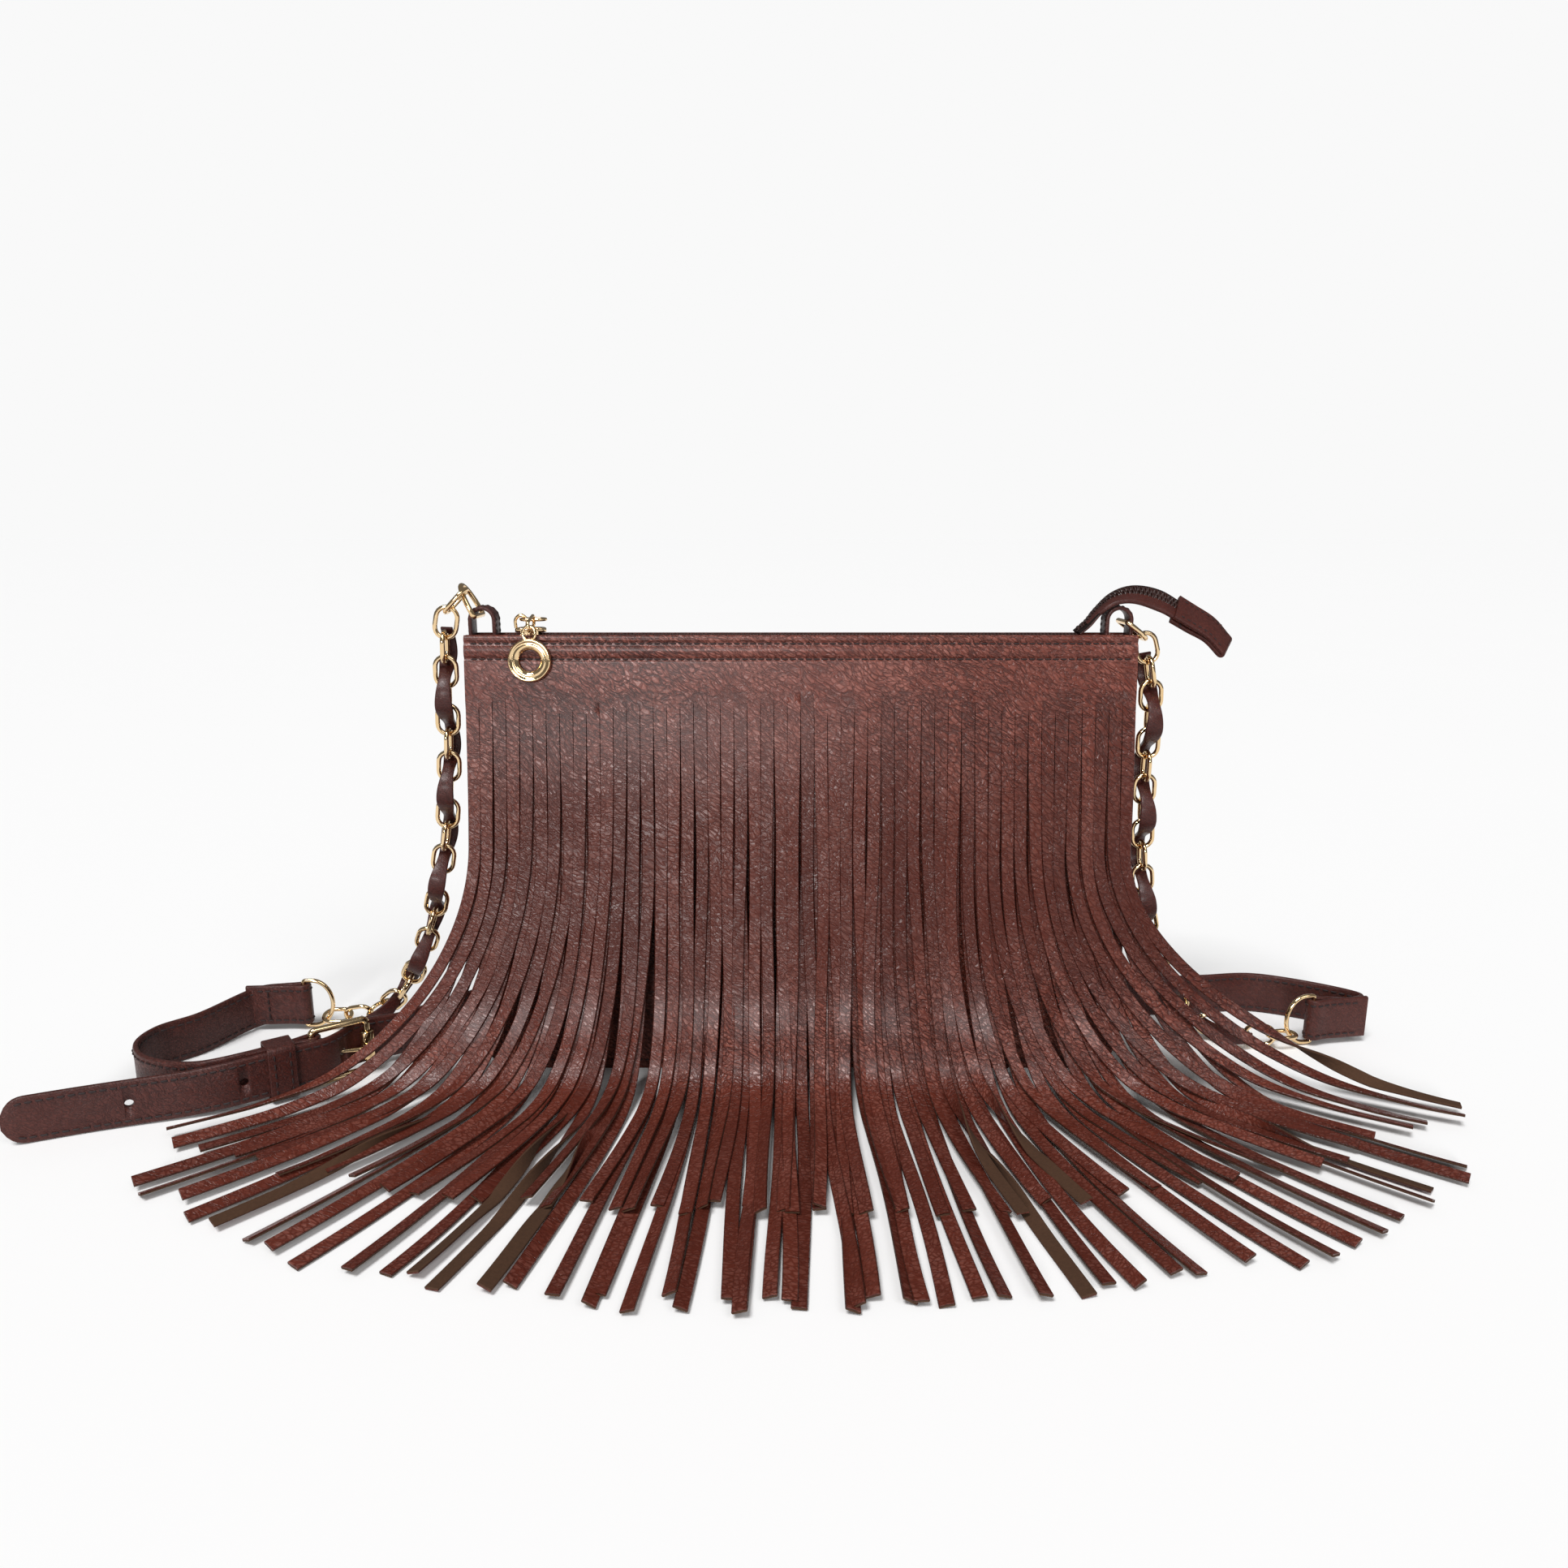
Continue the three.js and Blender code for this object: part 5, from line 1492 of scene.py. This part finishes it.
@dataclass
class Chain:
    """Oval wire links hooked through each other along a route, with a lace woven through."""

    side: str
    route: tuple[tuple[float, float, float], ...]
    start: np.ndarray
    count: int
    first_edge: bool
    length: float = 14.8
    width: float = 10.8
    wire: float = 2.0
    overlap: float = 0.3
    nodes: int = 15
    hook: float = 2.4
    lace_width: float = 7.2
    lace_thickness: float = 1.3
    lace_room: float = 1.1

    def walk(self) -> tuple[list[Link], np.ndarray, np.ndarray]:
        """Places the links one after the other, each hooked in the last.

        Returns:
            The links, the joint after the last one and its direction.
        """
        samples = Route(np.array([self.start, *self.route])).spaced(1200)
        singles = 2 * self.nodes - self.count
        touching, loose = (self.wire - self.overlap) / 2, self.wire / 2 + 0.2
        links, normal, joint, index = [], vec(0, 1, 0), samples[0], 0
        for k in range(self.count + 1):
            paired = singles <= k < self.count
            opens = paired and (k - singles) % 2 == 0
            closes = paired and not opens
            begin, leave = touching if closes else loose, touching if opens else loose
            begin = begin if k else self.hook
            pitch = self.length - self.wire - begin - leave
            while index < len(samples) - 1 and np.linalg.norm(samples[index] - joint) < pitch:
                index += 1
            along = unit(samples[index] - joint)
            normal = square_to(normal, along)
            across = np.cross(along, normal)
            centre = joint + along * ((self.length - self.wire) / 2 - begin)
            links.append(Link(centre, along, normal, across, (k % 2 == 0) == self.first_edge))
            joint = joint + along * pitch
        return links, joint, links[-1].along

    def metal(self, link: Link, build: Build) -> None:
        """Adds one link."""
        flat = link.normal if link.edge else link.across
        line = oval(link.centre, link.along, flat, self.length, self.width, self.wire)
        build.tube(line, self.wire / 2, 10, True)

    def lace(self, links: list[Link], build: Build) -> None:
        """Adds the lace: over one edge-on link, through the next link, under the one after.

        Args:
            links: The links that it passes.
            build: Collector.
        """
        far = self.width / 2 + self.lace_thickness / 2 + self.lace_room
        near = 0.585 * far
        points, wide, side = [], [], 1
        for link in links:
            if link.edge:
                for reach, height in ((-0.69, near), (-0.295, far), (0.295, far), (0.69, near)):
                    place = link.centre + reach * (self.length - 2 * self.wire) * link.along
                    points.append(place + side * height * link.normal)
                    wide.append(link.across)
                side = -side
        path = Route(np.array(points)).spaced(12 * len(points))
        share = np.linspace(0, 1, len(path))
        along = tangents(path)
        w = square_to(columns_of(share, np.linspace(0, 1, len(points)), np.array(wide)), along)
        pulse = 0.86 - 0.16 * np.cos(share * (len(points) / 4) * 2 * np.pi)
        shape = rounded_profile(self.lace_width, self.lace_thickness, 0.55, 3)
        profile = shape * np.stack([pulse, 1.15 - 0.15 * pulse], axis=1)[:, None]
        build.sweep(path, w, np.cross(along, w), profile)

    def make(self, finishes: Finishes) -> tuple[np.ndarray, np.ndarray]:
        """Builds and dresses the chain.

        Args:
            finishes: The object's materials.

        Returns:
            The last joint and the last link's direction, from which the strap's ring hangs.
        """
        links, end, along = self.walk()
        metal, last, lace = Build(), Build(), Build()
        for link in links[:-1]:
            self.metal(link, metal)
        self.metal(links[-1], last)
        self.lace(links[1:-1], lace)
        nodes = tuple(f"chain_{self.side}_{k:02d}" for k in range(1, self.nodes + 1))
        dress(metal.finish(f"gold_chain_{self.side}", 50), finishes.gold, Ride.BAG, nodes)
        name = f"chain_end_link_{self.side}"
        dress(last.finish(f"gold_{name}", 50), finishes.gold, Ride.BAG, (name,))
        name = f"chain_lace_{self.side}"
        dress(lace.finish(f"leather_{name}", 60), finishes.lace, Ride.BAG, (name,))
        return end, along


# The short strap's loop behind the buckle, (x, y) from the heel bar
SHORT_LOOP = ((-64, 31), (-75, 17), (-76, 3), (-68, -9), (-54, -16))

# The long strap's tip on the floor, (e, c, z) in the buckle's frame of reference
TIP_LINE = ((-48, -1.5, 1), (-67, -8, 0.4), (-86, -13.5, 0.2), (-106, -18, 0.2), (-110.4, -18.9, 0.2))


@dataclass
class StrapEnds:
    """Both straps with their folds, the buckle, roller, prong and keeper, in millimetres."""

    left: tuple[np.ndarray, np.ndarray]
    right: tuple[np.ndarray, np.ndarray]
    bag: BagBody
    width: float = 19.5
    thickness: float = 2.2
    lift: float = 0.2
    ring_wire: float = 2.0
    ring_reach: float = 13.0
    edge_room: float = 0.5
    gap: float = 0.3
    fold: float = 26.0
    buckle_length: float = 23.0
    buckle_wire: float = 3.0
    roller_radius: float = 3.0
    prong_wire: float = 1.8
    keeper_width: float = 11.0
    keeper_thickness: float = 1.5
    keeper_gap: float = 8.0
    hole_radius: float = 1.7
    hole_spacing: float = 40.0
    heel: np.ndarray = field(default_factory=lambda: vec(-208, -35, 0))
    along: np.ndarray = field(default_factory=lambda: unit(vec(0.81, 0.59, 0)))

    def __post_init__(self) -> None:
        """Works out what several pieces share."""
        self.aside = vec(self.along[1], -self.along[0], 0)
        self.buckle_z = self.buckle_wire + self.edge_room + self.width / 2
        self.buckle_lift = self.buckle_z - self.width / 2
        self.ring_height = self.width / 2 + self.edge_room + 1.25 * self.ring_wire
        self.prong_at = 0.52 * self.buckle_length
        self.prong_side = 0.06 * self.buckle_length
        self.behind = -(self.roller_radius + self.gap + self.thickness / 2)
        self.over = self.buckle_wire / 2 + 2 * self.gap + 1.5 * self.thickness + 0.2
        self.rings = [self.ring(*self.left), self.ring(*self.right)]

    def ring(self, end: np.ndarray, along: np.ndarray) -> tuple[Ring, np.ndarray]:
        """Returns the D-ring at a chain's end, and the level direction into the strap."""
        level = unit(vec(along[0], along[1], 0))
        half = self.width / 2 + self.edge_room + self.ring_wire / 2
        leg = self.ring_wire / 2 + self.thickness + 2 * self.gap
        drop = math.asin((self.ring_height - end[2]) / half)
        bar = end + level * (leg + (self.ring_reach - leg) * math.cos(drop) - self.ring_wire / 2 - 0.6)
        bar[2] = self.ring_height
        return Ring(bar, UP, -level, half, leg, self.ring_reach), level

    def local(
        self, origin: np.ndarray, e: Any, c: Any, z: Any, along: np.ndarray, aside: np.ndarray
    ) -> np.ndarray:
        """Returns points at e along and c aside from an origin, at height z."""
        e, c, z = np.broadcast_arrays(*(np.asarray(v, dtype=float) for v in (e, c, z)))
        return origin * vec(1, 1, 0) + e[..., None] * along + c[..., None] * aside + z[..., None] * UP

    def near(self, e: Any, c: Any, z: Any) -> np.ndarray:
        """Returns points in the buckle's frame of reference."""
        return self.local(self.heel, e, c, z, self.along, self.aside)

    def folded(
        self, bar: np.ndarray, along: np.ndarray, aside: np.ndarray, radius: float, lift: float
    ) -> np.ndarray:
        """Returns the line of a strap folded round a bar, from its free end round to the other layer."""
        middle = (self.thickness + self.gap + 0.1) / 2
        bend = radius + self.gap + self.thickness / 2
        near, far = 2.2 * bend, 3.2 * bend
        turn = np.pi / 2 + np.linspace(0, np.pi, 13)
        e = np.concatenate([np.linspace(self.fold, far, 8), [near], bend * np.cos(turn), [near, far]])
        neck = 1.12 * middle
        c = np.concatenate([np.full(8, middle), [neck], bend * np.sin(turn), [-neck, -middle]])
        return self.local(bar, e, c, lift, along, aside)

    def band(self, route: np.ndarray, build: Build, thread: Build, nose: float = 0.0) -> None:
        """Adds a strap that stands on edge along a route, with a stitch row near each edge.

        Args:
            route: Line of the strap's lower edge.
            build: Collector for the leather.
            thread: Collector for the stitches.
            nose: Length of a rounded tip at the end, or 0.
        """
        path = resample(route, int(measure(route)[-1] / 1.6))
        normal = np.cross(UP, unit(tangents(path) * vec(1, 1, 0)))
        run = measure(path)
        grow = np.ones(len(path))
        if nose > 0:
            share = np.clip(1 - (run[-1] - run) / nose, 0, 0.97)
            grow = np.sqrt(1 - share**2.4) * 0.98 + 0.02
        shape = rounded_profile(self.width, self.thickness, 0.75, 3)
        middle = path + UP * self.width / 2
        build.sweep(middle, UP, normal, shape * np.stack([grow, np.ones_like(grow)], axis=1)[:, None])
        inner = slice(3, -3)
        for edge, face in product((-1, 1), (-1, 1)):
            reach = edge * (self.width / 2 * grow - 2.4)
            row = middle + UP * reach[:, None] + normal * face * (self.thickness / 2 + 0.02)
            thread.stitches(row[inner], face * normal[inner], STRAP_STITCH)

    def short(self, build: Build, thread: Build) -> None:
        """Adds the short strap: ring fold, loop behind, and the fold that holds the buckle."""
        ring, into = self.rings[0]
        aside = vec(-into[1], into[0], 0)
        ring_lift = self.ring_height - self.width / 2
        first = self.folded(ring.bar, into, aside, self.ring_wire / 2, ring_lift)
        last = self.folded(self.heel, -self.along, self.aside, self.buckle_wire / 2, self.buckle_lift)[::-1]
        loop = [(self.heel[0] + dx, self.heel[1] + dy, self.lift) for dx, dy in SHORT_LOOP]
        middle = Route(np.array([
            first[-1],
            self.local(ring.bar, 0.8 * self.fold, -1.4, 1.6, into, aside),
            *loop,
            (self.heel[0] - 39, self.heel[1] - 18.5, 1),
            self.near(-0.95 * self.fold, -1.6, self.buckle_lift - 0.6),
            last[0],
        ])).spaced(90)
        self.band(np.vstack([first[:-1], middle, last[1:]]), build, thread)
        heights = np.linspace(ring_lift + 2.6, ring_lift + self.width - 2.6, 12)
        face = (self.thickness * 2 + self.gap) / 2 + 0.25
        seam = self.local(ring.bar, self.fold - 1.2, face, heights, into, aside)
        for step in (0.0, 9.0):
            thread.stitches(seam - into * step, aside, SEAM_STITCH)

    def long(self, build: Build, thread: Build) -> np.ndarray:
        """Adds the long strap: ring fold, run behind the bag, through the buckle to the tip.

        Returns:
            The line from the heel bar to the tip, where the holes are.
        """
        ring, into = self.rings[1]
        aside = vec(into[1], -into[0], 0)
        first = self.folded(ring.bar, into, aside, self.ring_wire / 2, self.ring_height - self.width / 2)
        wide, half, back = self.bag.width, self.bag.width / 2, self.bag.base_half
        run = [
            (ring.bar[0] - 10.8, 25), (half + 56, 23), (half, 18), (0.143 * wide, 15), (-0.214 * wide, 15),
            (12 - half, 16), (-half - 10, 8),
        ]
        lift, at, length = self.buckle_lift, self.prong_at, self.buckle_length
        behind = Route(np.array([
            first[-1],
            self.local(ring.bar, 0.7 * self.fold, -1.4, 1.6, into, aside),
            self.local(ring.bar, 1.15 * self.fold, -8, self.lift, into, aside),
            *((x, back + off, self.lift) for x, off in run),
            (-half - 24, 12, 1),
            self.near(1.75 * length, self.behind - 0.4, 2.4),
            self.near(1.2 * length, self.behind, lift),
        ])).spaced(240)
        spots = [
            (length, self.behind), (at + 5.6, self.behind + 1.2), (at, self.prong_side),
            (at - 5.6, self.over - 0.9), (2.5, self.over), (-5, self.over),
        ]
        through = Route(np.array([behind[-1], *(self.near(e, c, lift) for e, c in spots)])).spaced(40)
        ends = [(-5, self.over, lift), (-20, self.over - 0.6, lift - 0.3), (-self.fold - 6, 3.9, 2.6), *TIP_LINE]
        tip = Route(np.array([self.near(*end) for end in ends])).spaced(80)
        self.band(np.vstack([first[:-1], behind, through[1:], tip[1:]]), build, thread, 9.0)
        return tip

    def holes(self, tip: np.ndarray) -> bpy.types.Object:
        """Returns the closed cutter for the strap holes and the prong's slot."""
        build = Build()
        reach = (tip - self.heel) @ self.along
        spots = [(self.near(self.prong_at, self.prong_side, self.buckle_z), self.prong_wire / 2 + 0.6)]
        for step in (1, 2):
            nearest = int(np.argmin(np.abs(reach - self.prong_at + step * self.hole_spacing)))
            spots.append((tip[nearest] + UP * self.width / 2, self.hole_radius))
        for middle, radius in spots:
            path = middle + np.linspace(-7, 7, 4)[:, None] * self.aside
            build.sweep(path, self.along, UP, circle(radius, 24))
        return build.finish("hole_cutter")

    def frame(self, build: Build) -> None:
        """Adds the buckle frame: a rounded rectangle of wire, fuller at its front edge."""
        corner = 2.2
        half = self.width / 2 + self.edge_room + self.buckle_wire / 2 - corner
        spots = ((self.buckle_length - corner, half), (corner, half))
        spots += ((corner, -half), (self.buckle_length - corner, -half))
        rows = []
        for quarter, (e, h) in enumerate(spots):
            turn = np.pi / 2 * quarter + np.linspace(0, np.pi / 2, 8)
            rows.append(self.near(e + corner * np.cos(turn), 0, self.buckle_z + h + corner * np.sin(turn)))
        build.tube(np.vstack(rows), self.buckle_wire / 2, 16, True)

    def roller(self, build: Build) -> None:
        """Adds the roller: a sleeve with rounded ends on the frame's front bar."""
        inner, outer = self.buckle_wire / 2 + self.gap, self.roller_radius
        half = self.width / 2 + self.edge_room - 4
        profile = np.array([
            (inner, -half), (outer - 0.45, -half), (outer - 0.12, -half + 0.12), (outer, -half + 0.45),
            (outer, half - 0.45), (outer - 0.12, half - 0.12), (outer - 0.45, half), (inner, half),
        ])
        build.turned(profile, self.near(self.buckle_length, 0, self.buckle_z), UP, self.along, 40)

    def prong(self, build: Build) -> None:
        """Adds the prong: an eye round the heel bar and a bent arm that rests on the roller."""
        level, length, radius = self.buckle_z, self.buckle_length, self.prong_wire / 2
        hug = self.buckle_wire / 2 + self.gap + radius
        ring = 1.06 * hug * circle(1.0, 24)
        build.tube(self.near(ring[:, 0], ring[:, 1], level), radius, 12, True)
        over = self.roller_radius + self.gap + radius + 0.1
        spots = [
            (hug, 0.2), (0.5 * self.prong_at, 0.3), (self.prong_at, self.prong_side),
            (length - 3.5, over - 0.3), (length + 2.5, over + 0.2),
        ]
        line = Route(np.array([self.near(e, c, level) for e, c in spots])).spaced(36)
        share = np.linspace(0, 1, len(line))
        taper = radius * np.sqrt(np.clip(1 - ease(share, 0.93, 1.02) ** 2, 0.05, 1))
        profile = circle(1.0, 14) * taper[:, None, None]
        build.sweep(line, UP, np.cross(tangents(line), UP), profile)

    def keeper(self, build: Build, thread: Build) -> None:
        """Adds the keeper: a closed leather loop round the strap layers beside the heel bar."""
        middle = (self.thickness + self.gap + 0.1) / 2
        back = -middle - self.thickness / 2 - 0.8
        front = self.over + self.thickness / 2 + 0.4
        low, high = self.buckle_lift - 1, self.buckle_lift + self.width + 0.4
        grow = self.keeper_thickness / 2
        shape = rounded_profile(front - back + 2 * grow, high - low + 2 * grow, 1.5, 5)
        c, z = shape[:, 0] + (front + back) / 2, shape[:, 1] + (high + low) / 2
        line = self.near(-self.keeper_gap - self.keeper_width / 2, c, z)
        line = resample(np.vstack([line, line[:1]]), 120)[:-1]
        out = np.cross(tangents(line, True), self.along)
        out = out * np.sign(np.sum(out * (line - line.mean(axis=0)), axis=1, keepdims=True))
        profile = rounded_profile(self.keeper_width, self.keeper_thickness, 0.5, 3)
        build.sweep(line, self.along, out, profile, True)
        face = self.near(0, front + self.keeper_thickness + 0.02, np.linspace(low + 0.8, high - 0.8, 20))
        for e in (2.4, self.keeper_width - 2.4):
            thread.stitches(face - self.along * (self.keeper_gap + e), self.aside, SEAM_STITCH)

    def make(self, finishes: Finishes) -> None:
        """Builds and dresses the straps and the buckle.

        Args:
            finishes: The object's materials.
        """
        thread, short, slot, long = (Build() for _ in range(4))
        strap, leather, gold = finishes.strap, Slot.LEATHER, finishes.gold
        self.short(short, thread)
        centre = self.near(np.linspace(-6, 6, 4), 0, self.buckle_z)
        slot.sweep(centre, self.aside, UP, rounded_profile(16, 2 * self.prong_wire, 0.8))
        piece = carved(short.finish("leather_strap_short"), slot.finish("slot_cutter"))
        dress(piece, strap, Ride.BAG, ("strap_short",))
        tip = self.long(long, thread)
        piece = carved(long.finish("leather_strap_long"), self.holes(tip))
        dress(piece, strap, Ride.BAG, ("strap_long",))
        add_piece("leather_keeper", partial(self.keeper, thread=thread), strap, nodes=("keeper_loop",))
        dress(thread.finish("strap_stitches"), finishes.thread, Ride.BAG)
        makers = (
            ("strap_ring_left", partial(self.strap_ring, self.rings[0][0]), Ride.BAG, 50),
            ("strap_ring_right", partial(self.strap_ring, self.rings[1][0]), Ride.BAG, 50),
            ("buckle_frame", self.frame, Ride.BAG, 40),
            ("buckle_roller", self.roller, Ride.ROLLER, 40),
            ("buckle_prong", self.prong, Ride.PRONG, 40),
        )
        for name, maker, ride, angle in makers:
            add_piece(f"gold_{name}", maker, gold, ride, (name,), angle)

    def strap_ring(self, ring: Ring, build: Build) -> None:
        """Adds the D-ring between a chain and its strap."""
        build.tube(ring.line(), self.ring_wire / 2, 14, True)


@dataclass
class Studio:
    """Floor, lamps, world and camera."""

    camera_place: tuple[float, float, float] = (-0.007, -0.483, 0.232)
    pitch: float = 12.5
    lens: float = 26.09
    world_level: float = 0.17
    sky_level: float = 0.947
    floor_tones: tuple[float, float] = (0.938, 0.944)
    floor_reach: float = 40.0
    floor_z: float = -0.0001
    lamps: tuple[tuple[str, float, float, float, float], ...] = (
        ("key", -28.0, 60.0, 2.42, 22.0),
        ("front", -8.0, 13.0, 1.25, 11.0),
        ("fill", 35.0, 42.0, 0.55, 30.0),
    )

    def white(self) -> bpy.types.Material:
        """Returns the floor's pale matt material."""
        paint = Paint("pale_floor")
        tone = paint.noise(paint.place(), 3.0, 2)
        colour = paint.mix(tone, *((level,) * 3 for level in self.floor_tones))
        paint.set(Base_Color=colour, Roughness=0.9, Specular_IOR_Level=0.1)
        return paint.material

    def floor(self) -> None:
        """Adds a large level floor."""
        x = np.linspace(-self.floor_reach, self.floor_reach, 9)
        grid = np.stack(np.broadcast_arrays(x, x[:, None], self.floor_z), axis=-1)
        mesh = bpy.data.meshes.new("floor")
        mesh.from_pydata(grid.reshape(-1, 3).tolist(), [], grid_faces(9, 9, False, False).tolist())
        mesh.materials.append(self.white())
        ground = bpy.data.objects.new("floor", mesh)
        bpy.context.scene.collection.objects.link(ground)

    def lamp(self, name: str, azimuth: float, height: float, power: float, spread: float) -> None:
        """Adds a soft distant lamp.

        Args:
            name: Name of the lamp.
            azimuth: Degrees round from the front, positive to the right.
            height: Degrees above the horizon.
            power: Strength.
            spread: Angle that the lamp fills, in degrees.
        """
        light = bpy.data.lights.new(name, "SUN")
        light.angle, light.energy = math.radians(spread), power
        lamp = bpy.data.objects.new(name, light)
        lamp.rotation_euler = (math.radians(90 - height), 0, math.radians(azimuth))
        bpy.context.scene.collection.objects.link(lamp)

    def world(self) -> None:
        """Sets a plain pale world that the camera sees as white."""
        world = bpy.data.worlds.new("pale_world")
        bpy.context.scene.world = world
        world.use_nodes = True
        tree = world.node_tree
        tree.nodes.clear()
        path = tree.nodes.new("ShaderNodeLightPath")
        level = tree.nodes.new("ShaderNodeMapRange")
        level.inputs["To Min"].default_value = self.world_level
        level.inputs["To Max"].default_value = self.sky_level
        back = tree.nodes.new("ShaderNodeBackground")
        out = tree.nodes.new("ShaderNodeOutputWorld")
        tree.links.new(path.outputs["Is Camera Ray"], level.inputs["Value"])
        tree.links.new(level.outputs[0], back.inputs["Strength"])
        tree.links.new(back.outputs[0], out.inputs[0])
        back.inputs["Color"].default_value = (1, 1, 1, 1)

    def camera(self) -> None:
        """Adds the camera at the photograph's viewing angle."""
        lens = bpy.data.cameras.new("camera")
        lens.lens, lens.sensor_width = self.lens, 36.0
        lens.clip_start = 0.01
        eye = bpy.data.objects.new("camera", lens)
        eye.location = self.camera_place
        eye.rotation_euler = (math.radians(90 - self.pitch), 0, 0)
        bpy.context.scene.collection.objects.link(eye)
        bpy.context.scene.camera = eye

    def make(self) -> None:
        """Builds the whole studio."""
        self.camera()
        self.floor()
        self.world()
        for lamp in self.lamps:
            self.lamp(*lamp)
        bpy.context.scene.view_settings.view_transform = "Standard"


# Middle lines of the two chains after the bag's D-rings: down beside the bag, then along the floor
LEFT_ROUTE = (
    (-147.5, -6.5, 199), (-149, -6, 186), (-150, -4, 160), (-154, 0, 112.1), (-164, 4, 65.93), (-176, 13, 38),
    (-190, 20, 17), (-207, 24.5, 7), (-228, 24, 5.9), (-260, 20, 5.9),
)
RIGHT_ROUTE = (
    (149.5, 0, 172), (150.5, 1, 148), (151.5, 4, 107.92), (157, 8, 61.94), (168, 11, 31.92), (182, 11, 12),
    (198, 8, 6), (211, 3, 5.9), (224, 3, 5.9), (238, 10, 5.9), (260, 27, 5.9),
)


def main() -> None:
    """Builds the studio and every sub-assembly in order."""
    logging.basicConfig(level=logging.INFO, format="%(message)s")
    Studio().make()
    finishes = Finishes()
    bag = BagBody()
    bag.make(finishes)
    Fringe(bag).make(finishes)
    TopZip(bag).make(finishes)
    tabs = RingTabs(bag)
    tabs.make(finishes)
    left = Chain("left", LEFT_ROUTE, tabs.ring(-1).at(-math.pi / 4)[0], 22, True)
    right = Chain("right", RIGHT_ROUTE, tabs.ring(1).at(0.0)[0], 21, False)
    StrapEnds(left.make(finishes), right.make(finishes), bag).make(finishes)


if __name__ == "__main__":
    main()
